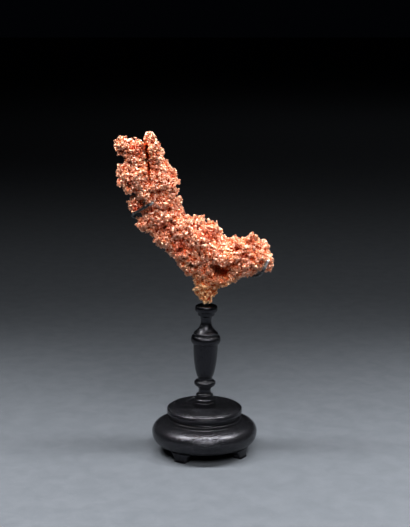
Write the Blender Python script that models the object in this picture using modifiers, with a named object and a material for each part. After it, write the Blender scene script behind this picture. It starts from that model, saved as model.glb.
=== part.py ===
"""Native copper nugget held on a turned, ebonised wooden display stand.

The nugget is one natural mass: hand-placed lumps, fused, crusted with nodules and pits, and cut by
its clefts.
The stand is a carved base ring on four bracket feet, a platform disc and a turned post.
A blackened steel rod rises from the post behind the nugget, and two claws reach from it to the front.

Metres, +Z up. Everything hangs on the empty "stand_axis", whose origin is the stand's axis at floor level.
That empty is moved at the end, so that the model's origin is the centre of its footprint box, on the floor.
"""

import math
import random

import bmesh
import bpy
from mathutils import Matrix, Vector, noise

# Driving dimensions of the stand (height z above the floor, radius r from the axis)
CLEARANCE = 0.0003  # gap kept between pieces that touch
FOOT_HEIGHT = 0.0080
BASE_RADIUS = 0.0440
PLATFORM_RADIUS = 0.0314
PLATFORM_BOTTOM = 0.0320
PLATFORM_TOP = 0.0387
POST_LEAN = math.radians(1.1)  # the post leans this far towards +X
FOOT_COUNT = 4
FIRST_FOOT_ANGLE = math.radians(-122.0)  # the front left foot, from +X towards +Y

BASE_SEGMENTS = 32
POST_SEGMENTS = 20

# Driving dimensions of the steel holder
ROD_RADIUS = 0.0013
ROD_HOLE_DEPTH = 0.0100  # long enough to open at the top of the cup
CLAW_RADIUS = 0.0012
CHANNEL_MARGIN = 0.0011  # copper kept this far from the steel

# The nugget's crust
NUGGET_SEED = 11
WAVE_SIZE = 0.0110
WAVE_HEIGHT = 0.0014
CELL_SIZE = 0.0048
CELL_HEIGHT = 0.0022
CELL_FLOOR = 0.12  # share of the cells' height that sinks below the lumps' skin
LUMP_VOXEL = 0.0014
CRUST_VOXEL = 0.0011
NODULE_COUNT = 640
NODULE_RADIUS = (0.0016, 0.0034)
PIT_COUNT = 170
PIT_RADIUS = (0.0018, 0.0036)
NUGGET_TRIANGLES = 4800

# The nugget's lumps: centre (x, y, z), half widths (along, in depth, across) and tilt in degrees
# about Y, which lowers the +X end. y is depth, and the front is at -y.
HEAD_LUMPS = [
    ((-0.0645, 0.0000, 0.2572), (0.0068, 0.0085, 0.0066), 0),  # block at the upper left
    ((-0.0615, 0.0005, 0.2500), (0.0060, 0.0080, 0.0045), 0),
    ((-0.0545, 0.0010, 0.2545), (0.0075, 0.0100, 0.0062), 8),
    ((-0.0435, -0.0005, 0.2640), (0.0043, 0.0050, 0.0045), 0),  # tip of the spire
    ((-0.0424, 0.0000, 0.2560), (0.0058, 0.0085, 0.0085), 0),
    ((-0.0368, 0.0010, 0.2550), (0.0036, 0.0060, 0.0046), 0),
    ((-0.0395, 0.0015, 0.2455), (0.0062, 0.0105, 0.0085), 0),
    ((-0.0550, 0.0020, 0.2440), (0.0095, 0.0095, 0.0060), 0),
    ((-0.0645, 0.0005, 0.2365), (0.0066, 0.0085, 0.0050), 0),  # left cheek
    ((-0.0655, -0.0020, 0.2285), (0.0055, 0.0080, 0.0052), 0),
    ((-0.0625, -0.0030, 0.2212), (0.0040, 0.0050, 0.0024), 0),  # nub hanging below the cheek
    ((-0.0530, 0.0000, 0.2330), (0.0115, 0.0135, 0.0110), 0),
    ((-0.0340, 0.0010, 0.2380), (0.0075, 0.0115, 0.0060), 25),
    ((-0.0340, 0.0000, 0.2270), (0.0122, 0.0145, 0.0112), 0),
]
LIMB_LUMPS = [
    ((-0.0470, 0.0000, 0.2220), (0.0090, 0.0140, 0.0070), 0),
    ((-0.0565, 0.0005, 0.2085), (0.0038, 0.0065, 0.0058), 10),  # flap left of the slot
    ((-0.0520, 0.0020, 0.2140), (0.0060, 0.0085, 0.0040), -20),
    ((-0.0330, 0.0010, 0.2125), (0.0095, 0.0150, 0.0090), 0),
    ((-0.0248, 0.0020, 0.2075), (0.0075, 0.0120, 0.0072), 50),
    ((-0.0470, 0.0000, 0.1935), (0.0082, 0.0095, 0.0062), 15),  # lobe right below the slot
    ((-0.0430, 0.0000, 0.1885), (0.0060, 0.0085, 0.0045), 0),
    ((-0.0400, 0.0010, 0.1990), (0.0085, 0.0125, 0.0070), 10),
    ((-0.0300, 0.0000, 0.1990), (0.0110, 0.0160, 0.0110), 30),
    ((-0.0320, 0.0000, 0.1828), (0.0100, 0.0140, 0.0092), 40),
    ((-0.0180, -0.0010, 0.1900), (0.0130, 0.0170, 0.0100), 40),
    ((-0.0080, 0.0010, 0.1935), (0.0078, 0.0110, 0.0052), 10),
    ((-0.0190, 0.0000, 0.1740), (0.0135, 0.0165, 0.0112), 45),
    ((-0.0060, -0.0010, 0.1810), (0.0120, 0.0165, 0.0110), 40),
    ((0.0065, 0.0020, 0.1865), (0.0062, 0.0090, 0.0070), 30),
    ((0.0050, 0.0010, 0.1938), (0.0026, 0.0035, 0.0030), 0),
    ((0.0120, 0.0030, 0.1810), (0.0050, 0.0080, 0.0045), 40),
]
FOOT_AND_ARM_LUMPS = [
    ((-0.0080, 0.0000, 0.1660), (0.0125, 0.0160, 0.0100), 45),
    ((-0.0120, 0.0000, 0.1592), (0.0114, 0.0135, 0.0074), 45),
    ((0.0050, 0.0000, 0.1700), (0.0130, 0.0165, 0.0110), 30),
    ((-0.0005, 0.0000, 0.1560), (0.0095, 0.0140, 0.0090), 40),
    ((0.0005, 0.0000, 0.1450), (0.0085, 0.0100, 0.0080), 0),
    ((0.0006, 0.0000, 0.1368), (0.0078, 0.0074, 0.0050), 0),
    ((0.0012, -0.0006, 0.1315), (0.0050, 0.0045, 0.0042), 0),  # foot of the nugget
    ((0.0115, 0.0010, 0.1490), (0.0112, 0.0120, 0.0086), -15),
    ((0.0200, 0.0010, 0.1495), (0.0085, 0.0105, 0.0060), -15),
    ((0.0145, -0.0055, 0.1675), (0.0090, 0.0110, 0.0082), 0),  # boss that stands forward
    ((0.0250, 0.0010, 0.1700), (0.0095, 0.0140, 0.0120), 0),
    ((0.0265, 0.0010, 0.1570), (0.0105, 0.0120, 0.0080), 0),
    ((0.0335, 0.0000, 0.1670), (0.0095, 0.0130, 0.0130), 0),
    ((0.0380, 0.0010, 0.1797), (0.0043, 0.0055, 0.0044), 0),  # knob on top of the arm
    ((0.0350, 0.0000, 0.1545), (0.0075, 0.0095, 0.0055), 0),
    ((0.0435, 0.0005, 0.1660), (0.0085, 0.0110, 0.0105), 0),
    ((0.0483, 0.0010, 0.1738), (0.0044, 0.0065, 0.0056), 0),
    ((0.0524, 0.0010, 0.1592), (0.0032, 0.0045, 0.0046), 0),  # nub outside the right claw
    ((0.0500, 0.0040, 0.1645), (0.0052, 0.0060, 0.0045), 0),
]

# Clefts: start and end on the front view (x, z), half width, and the depth from front to back in y
CLEFTS = [
    ((-0.0480, 0.2620), (-0.0470, 0.2460), 0.0013, (-0.0200, 0.0045)),  # beside the spire
    ((-0.0472, 0.2480), (-0.0455, 0.2300), 0.0012, (-0.0200, -0.0060)),
    ((-0.0470, 0.2495), (-0.0464, 0.2440), 0.0017, (-0.0200, 0.0200)),  # the hole at its foot
    ((-0.0680, 0.2465), (-0.0625, 0.2460), 0.0011, (-0.0200, 0.0200)),
    ((-0.0640, 0.1985), (-0.0405, 0.2125), 0.0016, (-0.0220, 0.0000)),  # slot of the left claw
    ((0.0445, 0.1500), (0.0512, 0.1625), 0.0016, (-0.0200, 0.0010)),  # slot of the right claw
    ((0.0060, 0.1560), (0.0180, 0.1570), 0.0022, (-0.0200, -0.0070)),  # hollow under the boss
    ((-0.0190, 0.1755), (-0.0215, 0.1700), 0.0016, (-0.0220, -0.0100)),
    ((-0.0485, 0.1895), (-0.0440, 0.1905), 0.0012, (-0.0200, -0.0030)),
]

# Routes of the steel holder
ROD_ROUTE = [
    (0.0020, 0.0052, 0.1190),
    (0.0020, 0.0052, 0.1275),
    (0.0018, 0.0064, 0.1325),
    (0.0000, 0.0105, 0.1400),
    (-0.0040, 0.0165, 0.1560),
    (-0.0130, 0.0185, 0.1760),
    (-0.0260, 0.0178, 0.1970),
    (-0.0380, 0.0160, 0.2180),
    (-0.0455, 0.0135, 0.2360),
    (-0.0480, 0.0112, 0.2500),
]
LEFT_CLAW_ROUTE = [
    (-0.0290, 0.0212, 0.1985),
    (-0.0400, 0.0175, 0.1950),
    (-0.0510, 0.0115, 0.1955),
    (-0.0580, 0.0045, 0.1985),
    (-0.0575, -0.0040, 0.2020),
    (-0.0500, -0.0085, 0.2070),
    (-0.0415, -0.0105, 0.2122),
]
RIGHT_CLAW_ROUTE = [
    (-0.0040, 0.0200, 0.1545),
    (0.0080, 0.0185, 0.1500),
    (0.0260, 0.0165, 0.1470),
    (0.0400, 0.0120, 0.1470),
    (0.0455, 0.0030, 0.1500),
    (0.0484, -0.0060, 0.1565),
    (0.0515, -0.0095, 0.1640),
]


def clear_scene():
    for obj in list(bpy.data.objects):
        bpy.data.objects.remove(obj, do_unlink=True)


def new_collection(name):
    collection = bpy.data.collections.new(name)
    bpy.context.scene.collection.children.link(collection)
    return collection


def new_material(name, colour, roughness, metallic):
    material = bpy.data.materials.new(name)
    material.use_nodes = True
    shader = material.node_tree.nodes["Principled BSDF"]
    shader.inputs["Base Color"].default_value = (*colour, 1.0)
    shader.inputs["Roughness"].default_value = roughness
    shader.inputs["Metallic"].default_value = metallic
    material.diffuse_color = (*colour, 1.0)
    return material


def new_object(name, mesh, collection, parent=None, material=None):
    obj = bpy.data.objects.new(name, mesh)
    collection.objects.link(obj)
    obj.parent = parent
    if material:
        mesh.materials.clear()
        mesh.materials.append(material)
    return obj


def evaluated_mesh(obj):
    """The object's mesh as its modifiers or its bevel make it."""
    bpy.context.view_layer.update()
    graph = bpy.context.evaluated_depsgraph_get()
    return bpy.data.meshes.new_from_object(obj.evaluated_get(graph))


def shade_round(mesh, sharp_angle=40.0):
    mesh.shade_smooth()
    mesh.set_sharp_from_angle(angle=math.radians(sharp_angle))


# Turned profiles: each function gives points (radius, z), from the top of a feature down


def bulge(top, bottom, end_radius, mid_radius, steps=6):
    """Half an ellipse between two heights: a bead, or a cove where mid_radius is below end_radius."""
    points = []
    for step in range(steps + 1):
        angle = math.pi * step / steps
        radius = end_radius + (mid_radius - end_radius) * math.sin(angle)
        height = (top + bottom) / 2 + (top - bottom) / 2 * math.cos(angle)
        points.append((radius, height))
    return points


def flare(top, bottom, top_radius, bottom_radius, power, steps=6):
    """A concave skirt that widens ever faster towards its foot."""
    points = []
    for step in range(steps + 1):
        share = step / steps
        radius = top_radius + (bottom_radius - top_radius) * share**power
        points.append((radius, top + (bottom - top) * share))
    return points


def urn(top, bottom, top_radius, bottom_radius, power, steps=7):
    """A vase's side, nearly straight above and drawn in below."""
    points = []
    for step in range(steps + 1):
        share = 1.0 - step / steps
        radius = bottom_radius + (top_radius - bottom_radius) * math.sin(math.pi / 2 * share**power)
        points.append((radius, bottom + (top - bottom) * share))
    return points


def turned(name, profile, segments, collection, parent, material):
    """A solid of revolution from a profile that runs from the axis at the top to the axis at the bottom."""
    mesh = bpy.data.meshes.new(name)
    points = [(radius, 0.0, height) for radius, height in profile]
    mesh.from_pydata(points, [(i, i + 1) for i in range(len(points) - 1)], [])
    obj = new_object(name, mesh, collection, parent)
    screw = obj.modifiers.new("Screw", "SCREW")
    screw.axis = "Z"
    screw.steps = segments
    screw.render_steps = segments
    screw.use_merge_vertices = True
    screw.merge_threshold = 0.00001
    solid = evaluated_mesh(obj)
    obj.modifiers.clear()
    obj.data = solid
    bpy.data.meshes.remove(mesh)
    shade_round(solid)
    solid.materials.clear()
    solid.materials.append(material)
    return obj


def wire(name, route, radius, collection, parent, material):
    """A steel rod that runs smoothly through the points of its route, with filled ends."""
    curve = bpy.data.curves.new(name, "CURVE")
    curve.dimensions = "3D"
    curve.resolution_u = 3
    curve.bevel_depth = radius
    curve.bevel_resolution = 2
    curve.use_fill_caps = True
    spline = curve.splines.new("BEZIER")
    spline.bezier_points.add(len(route) - 1)
    for point, place in zip(spline.bezier_points, route):
        point.co = place
        point.handle_left_type = "AUTO"
        point.handle_right_type = "AUTO"
    guide = new_object(name + "_guide", curve, collection, parent)
    mesh = evaluated_mesh(guide)
    bpy.data.objects.remove(guide)
    weld(mesh)
    shade_round(mesh)
    return new_object(name, mesh, collection, parent, material)


def weld(mesh):
    """Joins a curve's caps to its side."""
    bm = bmesh.new()
    bm.from_mesh(mesh)
    bmesh.ops.remove_doubles(bm, verts=bm.verts, dist=0.00001)
    bmesh.ops.recalc_face_normals(bm, faces=bm.faces)
    bm.to_mesh(mesh)
    bm.free()


def cut(obj, cutter):
    boolean = obj.modifiers.new("Cut", "BOOLEAN")
    boolean.operation = "DIFFERENCE"
    boolean.object = cutter


def make_rod_hole(collection, parent):
    """A straight hole down into the post's cup, a little wider and deeper than the rod's foot."""
    foot = Vector(ROD_ROUTE[0])
    route = [foot - Vector((0.0, 0.0, 2 * CLEARANCE)), foot + Vector((0.0, 0.0, ROD_HOLE_DEPTH))]
    return as_cutter(wire("rod_hole", route, ROD_RADIUS + 2 * CLEARANCE, collection, parent, None))


def as_cutter(obj):
    obj.hide_render = True
    obj.display_type = "WIRE"
    return obj


# Stand


def make_base_ring(collection, parent, material):
    """The wide cushion-shaped ring, with two fillets and a recess round the platform's seat."""
    seat = PLATFORM_BOTTOM - CLEARANCE
    shoulder = 0.0262
    belly = 0.0173
    under = 0.0370
    profile = [(0.0, seat), (0.0282, seat), (0.0285, seat - 0.0003), (0.0285, 0.0297)]
    profile += bulge(0.0295, 0.0276, 0.0300, 0.0307, 3)
    profile += bulge(0.0272, shoulder, 0.0315, 0.0322, 2)
    for step in range(1, 6):
        angle = math.pi / 2 * step / 5
        radius = 0.0328 + (BASE_RADIUS - 0.0328) * math.sin(angle)
        profile.append((radius, belly + (shoulder - belly) * math.cos(angle)))
    for step in range(1, 5):
        angle = math.pi / 2 * step / 4
        radius = under + (BASE_RADIUS - under) * math.cos(angle)
        profile.append((radius, belly - (belly - FOOT_HEIGHT) * math.sin(angle)))
    profile.append((0.0, FOOT_HEIGHT))
    return turned("base_ring", profile, BASE_SEGMENTS, collection, parent, material)


def make_platform(collection, parent, material):
    """The disc on top of the base, with a fine line turned inside its rim."""
    line = PLATFORM_RADIUS - 0.0019
    profile = [
        (0.0, PLATFORM_TOP),
        (line - 0.0005, PLATFORM_TOP),
        (line, PLATFORM_TOP - 0.0004),
        (line + 0.0003, PLATFORM_TOP),
    ]
    profile += [(PLATFORM_RADIUS - 0.0009, PLATFORM_TOP - 0.0001)]
    profile += [(PLATFORM_RADIUS - 0.0002, PLATFORM_TOP - 0.0008), (PLATFORM_RADIUS, 0.0365)]
    profile += [(PLATFORM_RADIUS, 0.0345), (PLATFORM_RADIUS - 0.0008, 0.0328)]
    profile += [(PLATFORM_RADIUS - 0.0020, PLATFORM_BOTTOM), (0.0, PLATFORM_BOTTOM)]
    return turned("platform", profile, BASE_SEGMENTS, collection, parent, material)


def make_post(collection, parent, material):
    """The turned post, its profile measured up its own leaning axis from the platform's top."""
    profile = [(0.0, 0.0853), (0.0062, 0.0857), (0.0074, 0.0866)]
    profile += bulge(0.0862, 0.0806, 0.0079, 0.0093, 4)  # lip of the cup
    profile += [(0.0071, 0.0802), (0.0070, 0.0784), (0.0064, 0.0776)]
    profile += flare(0.0768, 0.0735, 0.0052, 0.00436, 1.0, 1)
    profile += flare(0.0726, 0.0626, 0.00436, 0.0101, 2.2, 5)
    profile += bulge(0.0607, 0.0534, 0.0102, 0.0123, 4)  # collar
    profile += urn(0.0523, 0.0244, 0.01015, 0.0060, 0.72, 6)
    profile += bulge(0.0222, 0.0170, 0.0063, 0.0090, 4)  # ring bead
    profile += bulge(0.0162, 0.0106, 0.0062, 0.0051, 3)
    profile += bulge(0.0101, 0.0076, 0.0066, 0.0073, 2)
    profile += bulge(0.0067, 0.0040, 0.0068, 0.0085, 3)
    profile += [(0.0080, 0.0036), (0.0087, 0.0030), (0.0087, 0.0004), (0.0083, 0.0), (0.0, 0.0)]
    post = turned("post", profile, POST_SEGMENTS, collection, parent, material)
    post.location.z = PLATFORM_TOP + CLEARANCE + 0.0083 * math.sin(POST_LEAN)
    post.rotation_euler.y = POST_LEAN
    return post


def make_foot(index, collection, parent, material):
    """A short bracket foot under the edge of the ring, wider above than below, flat underneath."""
    height = FOOT_HEIGHT - CLEARANCE
    bm = bmesh.new()
    bmesh.ops.create_cube(bm, size=1.0)
    for vertex in bm.verts:
        above = vertex.co.z > 0.0
        outside = vertex.co.x > 0.0
        depth = 0.0082 if above else 0.0064
        width = 0.0150 if above else 0.0106
        vertex.co.x = 0.0346 + (depth / 2 if outside else -depth / 2)
        vertex.co.y *= width
        vertex.co.z = height if above else 0.0
    edges = [edge for edge in bm.edges if abs(edge.verts[0].co.z - edge.verts[1].co.z) > height / 2]
    bmesh.ops.bevel(bm, geom=edges, offset=0.0016, segments=3, profile=0.5, affect="EDGES")
    mesh = bpy.data.meshes.new(f"foot_{index + 1}")
    bm.to_mesh(mesh)
    bm.free()
    shade_round(mesh)
    foot = new_object(f"foot_{index + 1}", mesh, collection, parent, material)
    foot.rotation_euler.z = FIRST_FOOT_ANGLE + 2 * math.pi * index / FOOT_COUNT
    return foot


# Nugget


def placed(centre, half_widths, tilt):
    """The matrix that makes a unit sphere into a lump. The tilt is about Y, in degrees."""
    turn = Matrix.Rotation(math.radians(tilt), 4, "Y")
    return Matrix.Translation(centre) @ turn @ Matrix.Diagonal((*half_widths, 1.0))


def fused(mesh, voxel, collection):
    """One skin round everything in the mesh. Sealed hollows and loose crumbs are dropped."""
    obj = new_object("fusing", mesh, collection)
    remesh = obj.modifiers.new("Remesh", "REMESH")
    remesh.mode = "VOXEL"
    remesh.voxel_size = voxel
    skin = evaluated_mesh(obj)
    bpy.data.objects.remove(obj)
    bm = bmesh.new()
    bm.from_mesh(skin)
    keep_largest_body(bm)
    bm.to_mesh(skin)
    bm.free()
    return skin


def keep_largest_body(bm):
    unseen = set(bm.verts)
    bodies = []
    while unseen:
        body = []
        stack = [unseen.pop()]
        while stack:
            vertex = stack.pop()
            body.append(vertex)
            for edge in vertex.link_edges:
                other = edge.other_vert(vertex)
                if other in unseen:
                    unseen.remove(other)
                    stack.append(other)
        bodies.append(body)
    bodies.sort(key=len, reverse=True)
    for body in bodies[1:]:
        bmesh.ops.delete(bm, geom=body, context="VERTS")


def roughened(mesh):
    """Waves and cell-like swellings over the whole skin."""
    bm = bmesh.new()
    bm.from_mesh(mesh)
    bm.normal_update()
    moves = []
    for vertex in bm.verts:
        wave = noise.fractal(vertex.co / WAVE_SIZE, 0.8, 2.1, 3)
        near, next_near = noise.voronoi(vertex.co / CELL_SIZE)[0][:2]
        swelling = min(next_near - near, 0.5)
        moves.append(vertex.normal * (WAVE_HEIGHT * wave + CELL_HEIGHT * (swelling - CELL_FLOOR)))
    for vertex, move in zip(bm.verts, moves):
        vertex.co += move
    bm.to_mesh(mesh)
    bm.free()


def scattered(bm, count, chance):
    """Points and normals spread over a skin in proportion to its area."""
    bm.faces.ensure_lookup_table()
    areas = [face.calc_area() for face in bm.faces]
    faces = chance.choices(bm.faces, weights=areas, k=count)
    return [(face.calc_center_median(), face.normal.copy()) for face in faces]


def crusted(mesh):
    """Knobbly nodules grown on the skin, and pits pressed into it between them."""
    chance = random.Random(NUGGET_SEED)
    bm = bmesh.new()
    bm.from_mesh(mesh)
    bm.normal_update()
    for centre, normal in scattered(bm, PIT_COUNT, chance):
        radius = chance.uniform(*PIT_RADIUS)
        for vertex in bm.verts:
            distance = (vertex.co - centre).length
            if distance < radius:
                vertex.co -= normal * (0.75 * radius * (1.0 - (distance / radius) ** 2))
    for centre, normal in scattered(bm, NODULE_COUNT, chance):
        radius = chance.uniform(*NODULE_RADIUS)
        stretch = [radius * chance.uniform(0.55, 1.0) for _ in range(3)]
        axis = Vector([chance.uniform(-1.0, 1.0) for _ in range(3)])
        spin = Matrix.Rotation(chance.uniform(0.0, math.pi), 4, axis)
        place = Matrix.Translation(centre + normal * 0.15 * radius)
        bmesh.ops.create_icosphere(
            bm, subdivisions=1, radius=1.0, matrix=place @ spin @ Matrix.Diagonal((*stretch, 1.0)))
    bm.to_mesh(mesh)
    bm.free()


def make_cleft_cutter(index, cleft, collection, parent):
    """A thin wedge that opens a natural cleft, seen from the front as a line from start to end."""
    (start_x, start_z), (end_x, end_z), half_width, (front, back) = cleft
    length = math.hypot(end_x - start_x, end_z - start_z)
    bm = bmesh.new()
    bmesh.ops.create_cube(bm, size=1.0)
    bmesh.ops.scale(bm, verts=bm.verts, vec=(2 * half_width, back - front, length))
    for vertex in bm.verts:
        if vertex.co.y > 0.0:
            vertex.co.x *= 0.6
    mesh = bpy.data.meshes.new(f"cleft_cutter_{index}")
    bm.to_mesh(mesh)
    bm.free()
    cutter = new_object(f"cleft_cutter_{index}", mesh, collection, parent)
    cutter.location = ((start_x + end_x) / 2, (front + back) / 2, (start_z + end_z) / 2)
    cutter.rotation_euler.y = math.atan2(end_x - start_x, end_z - start_z)
    return as_cutter(cutter)


def make_nugget(collection, cutters, parent, material):
    bm = bmesh.new()
    for centre, half_widths, tilt in HEAD_LUMPS + LIMB_LUMPS + FOOT_AND_ARM_LUMPS:
        bmesh.ops.create_icosphere(
            bm, subdivisions=3, radius=1.0, matrix=placed(centre, half_widths, tilt))
    mesh = bpy.data.meshes.new("nugget")
    bm.to_mesh(mesh)
    bm.free()
    mesh = fused(mesh, LUMP_VOXEL, collection)
    roughened(mesh)
    crusted(mesh)
    mesh = fused(mesh, CRUST_VOXEL, collection)

    nugget = new_object("nugget", mesh, collection, parent, material)
    for index, cleft in enumerate(CLEFTS):
        cut(nugget, make_cleft_cutter(index, cleft, cutters, parent))
    for name, route, radius in STEEL_ROUTES:
        channel = wire(name + "_channel", route, radius + CHANNEL_MARGIN, cutters, parent, None)
        cut(nugget, as_cutter(channel))
    channelled = evaluated_mesh(nugget)
    nugget.modifiers.clear()
    nugget.data = fused(channelled, CRUST_VOXEL, collection)
    decimate = nugget.modifiers.new("Decimate", "DECIMATE")
    decimate.ratio = NUGGET_TRIANGLES / (2 * len(nugget.data.polygons))
    triangulate = nugget.modifiers.new("Triangulate", "TRIANGULATE")
    triangulate.quad_method = "BEAUTY"
    return nugget


# Each steel piece's name, route and radius
STEEL_ROUTES = [
    ("support_rod", ROD_ROUTE, ROD_RADIUS),
    ("left_claw", LEFT_CLAW_ROUTE, CLAW_RADIUS),
    ("right_claw", RIGHT_CLAW_ROUTE, CLAW_RADIUS),
]


def move_origin_under_the_middle(stand_axis, collection):
    """Shifts the whole model so that its origin is the centre of its footprint box, at floor level."""
    bpy.context.view_layer.update()
    corners = []
    for obj in collection.objects:
        if obj.type == "MESH":
            corners += [obj.matrix_world @ vertex.co for vertex in evaluated_mesh(obj).vertices]
    for axis in range(2):
        values = [corner[axis] for corner in corners]
        stand_axis.location[axis] = -(min(values) + max(values)) / 2
    stand_axis.location.z = -min(corner.z for corner in corners)


def build():
    clear_scene()
    parts = new_collection("native_copper_nugget")
    cutters = new_collection("cutters")
    cutters.hide_render = True
    stand_axis = new_object("stand_axis", None, parts)

    copper = new_material("native_copper", (0.72, 0.33, 0.21), 0.38, 1.0)
    wood = new_material("ebonised_wood", (0.012, 0.011, 0.012), 0.35, 0.0)
    steel = new_material("blackened_steel", (0.03, 0.03, 0.032), 0.45, 0.0)

    for index in range(FOOT_COUNT):
        make_foot(index, parts, stand_axis, wood)
    make_base_ring(parts, stand_axis, wood)
    make_platform(parts, stand_axis, wood)
    post = make_post(parts, stand_axis, wood)
    cut(post, make_rod_hole(cutters, stand_axis))
    for name, route, radius in STEEL_ROUTES:
        wire(name, route, radius, parts, stand_axis, steel)
    make_nugget(parts, cutters, stand_axis, copper)
    move_origin_under_the_middle(stand_axis, parts)


build()
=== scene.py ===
"""The looks of a native copper nugget, held by blackened steel claws on a turned, ebonised stand.

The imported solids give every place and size. Each is dressed by a finer piece of the same form: the
copper mass with its crust of nodules and crystals, the bent steel, and the turned wood. Lengths are
in metres, in the frame's own axes, and heights are above the floor.
"""
import math

import bmesh
import bpy
import numpy as np
from mathutils import Matrix, Vector, noise


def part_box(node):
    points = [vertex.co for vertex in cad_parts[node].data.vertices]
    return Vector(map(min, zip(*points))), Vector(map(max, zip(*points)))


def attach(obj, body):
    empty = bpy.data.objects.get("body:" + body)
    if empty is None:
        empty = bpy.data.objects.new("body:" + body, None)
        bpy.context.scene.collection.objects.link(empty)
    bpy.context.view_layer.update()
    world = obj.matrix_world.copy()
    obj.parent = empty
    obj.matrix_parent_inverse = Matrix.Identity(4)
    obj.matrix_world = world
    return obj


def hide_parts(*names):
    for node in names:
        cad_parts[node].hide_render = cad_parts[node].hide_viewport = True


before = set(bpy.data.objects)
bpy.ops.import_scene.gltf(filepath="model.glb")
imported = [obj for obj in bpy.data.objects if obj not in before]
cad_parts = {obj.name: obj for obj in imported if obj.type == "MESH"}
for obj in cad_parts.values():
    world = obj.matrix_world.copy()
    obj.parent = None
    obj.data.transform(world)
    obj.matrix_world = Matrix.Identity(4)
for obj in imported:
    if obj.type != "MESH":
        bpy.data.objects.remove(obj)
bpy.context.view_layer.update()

base_low, base_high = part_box("base_ring")
platform_low, platform_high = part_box("platform")
AXIS = Vector(((base_low.x + base_high.x) / 2, (base_low.y + base_high.y) / 2, 0.0))

# Stand
BASE_RADIUS = (base_high.x - base_low.x) / 2
BASE_UNDERSIDE = base_low.z
SEAT = base_high.z
PLATFORM_BOTTOM = platform_low.z
PLATFORM_TOP = platform_high.z
PLATFORM_RADIUS = (platform_high.x - platform_low.x) / 2
POST_LEAN = math.radians(1.1)
POST_FOOT_RADIUS = 0.0083
POST_GAP = 0.0003
FOOT_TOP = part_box("foot_1")[1].z
FOOT_COUNT = 4
FIRST_FOOT_ANGLE = math.radians(-122.0)
FOOT_MIDDLE = 0.0346
FOOT_WIDTH = 0.0106  # at the floor, as the depth is
FOOT_DEPTH = 0.0064
FOOT_FLARE = 0.0090  # added to the width at the top
FOOT_SWELL = 0.0018  # added to the depth at the top
FOOT_TOE = 0.0014
FOOT_EDGE = 0.0006
LATHE_SEGMENTS = 128
POST_SEGMENTS = 96
SHARP_ANGLE = math.radians(50.0)

# Steel, as routes from the stand's axis
ROD_RADIUS = 0.0013
CLAW_RADIUS = 0.0012
ROD_ROUTE = [
    (0.0020, 0.0052, 0.1190),
    (0.0020, 0.0052, 0.1275),
    (0.0018, 0.0064, 0.1325),
    (0.0000, 0.0105, 0.1400),
    (-0.0040, 0.0165, 0.1560),
    (-0.0130, 0.0185, 0.1760),
    (-0.0260, 0.0178, 0.1970),
    (-0.0380, 0.0160, 0.2180),
    (-0.0455, 0.0135, 0.2360),
    (-0.0480, 0.0112, 0.2500),
]
LEFT_CLAW_ROUTE = [
    (-0.0290, 0.0212, 0.1985),
    (-0.0400, 0.0175, 0.1950),
    (-0.0510, 0.0115, 0.1955),
    (-0.0580, 0.0045, 0.1985),
    (-0.0575, -0.0040, 0.2020),
    (-0.0500, -0.0085, 0.2070),
    (-0.0415, -0.0105, 0.2122),
]
RIGHT_CLAW_ROUTE = [
    (-0.0040, 0.0200, 0.1545),
    (0.0080, 0.0185, 0.1500),
    (0.0260, 0.0165, 0.1470),
    (0.0400, 0.0120, 0.1470),
    (0.0455, 0.0030, 0.1500),
    (0.0484, -0.0060, 0.1565),
    (0.0515, -0.0095, 0.1640),
]
STEEL_ROUTES = [ROD_ROUTE, LEFT_CLAW_ROUTE, RIGHT_CLAW_ROUTE]
STEEL_PIECES = [  # piece, node, route, radius, length of the tip whose paint is rubbed off to bare steel that also stands as a painted highlight
    ("rod_steel", "support_rod", ROD_ROUTE, ROD_RADIUS, 0.0030),
    ("left_claw_steel", "left_claw", LEFT_CLAW_ROUTE, CLAW_RADIUS, 0.0035),
    ("right_claw_steel", "right_claw", RIGHT_CLAW_ROUTE, CLAW_RADIUS, 0.0075),
]
STEEL_MARGIN = 0.0017  # from a route to where the crust may begin
STEEL_VOXEL = 0.00034
SLOT_FLOOR = [(-0.0500, -0.0010, 0.2050), (-0.0440, -0.0030, 0.2088), (-0.0390, -0.0045, 0.2125)]
SLOT_FLOOR_RADIUS = 0.0036
SLOT_FLOOR_STEPS = 4
HUG_RADIUS = 0.0016  # from a claw's route to the copper drawn in round it
HUG_REACH = 0.0060
HUG_BACK = 0.0040  # how far back in y the copper is drawn in
HUG_FADE = 0.0030
TIP_SHARE = 0.99  # of the rod's radius, for the ball that rounds its end
PAINT_EDGE = 1.3  # how many rubbed lengths from the tip the paint is whole; nearer the tip the bare steel also stands as a painted highlight

# Copper crust
CORE_VOXEL = 0.0007
SKIN_VOXEL = 0.00038
SMOOTHING = 0.5
SMOOTHING_PASSES = 6
WAVE_FALL = 0.9
WAVE_STEP = 2.1
WAVE_OCTAVES = 2
CLUMP_SIZE = 0.0062
CLUMP_HEIGHT = 0.0044
CLUMP_FLAT = 0.45  # of a cell's size from its edge, where a clump stops rising
CLUMP_SINK = 0.56
BEND = 0.0016  # of the pattern of clumps, so that they aren't round
BEND_SIZE = 0.0050
FADE = 0.0015  # over which relief rises from nothing beside steel and clefts
RIDGE_SIZE = 0.0042
RIDGE_HEIGHT = 0.0011
RIDGE_STEEPNESS = 2.2
FRONT_FACING = 0.35  # how far towards the front a place has to face to have what stands out there
HACKLE_SIZE = 0.0013
HACKLE_HEIGHT = 0.00075
NODULE_COUNT = 9000
NODULE_RADIUS = 0.00038
NODULE_SPREAD = 0.0015
NODULE_RARITY = 3.2  # how much rarer big nodules are than small ones
NODULE_HEIGHTS = 0.0016  # from hollows that have few nodules to crests that have many
NODULE_LEAST = 0.12
NODULE_STANDING = (-0.4, 0.45)  # from the skin to a nodule's middle, in its radii
NODULE_STRETCH = (0.65, 1.15)
NODULE_TILT = 0.5
CLEFT_ROOM = 1.1  # in the nodule's radii
HOLLOW_ROOM = 0.5
CRUST_NEARER = 0.0003  # than STEEL_MARGIN, for nodules and crystals
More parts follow.
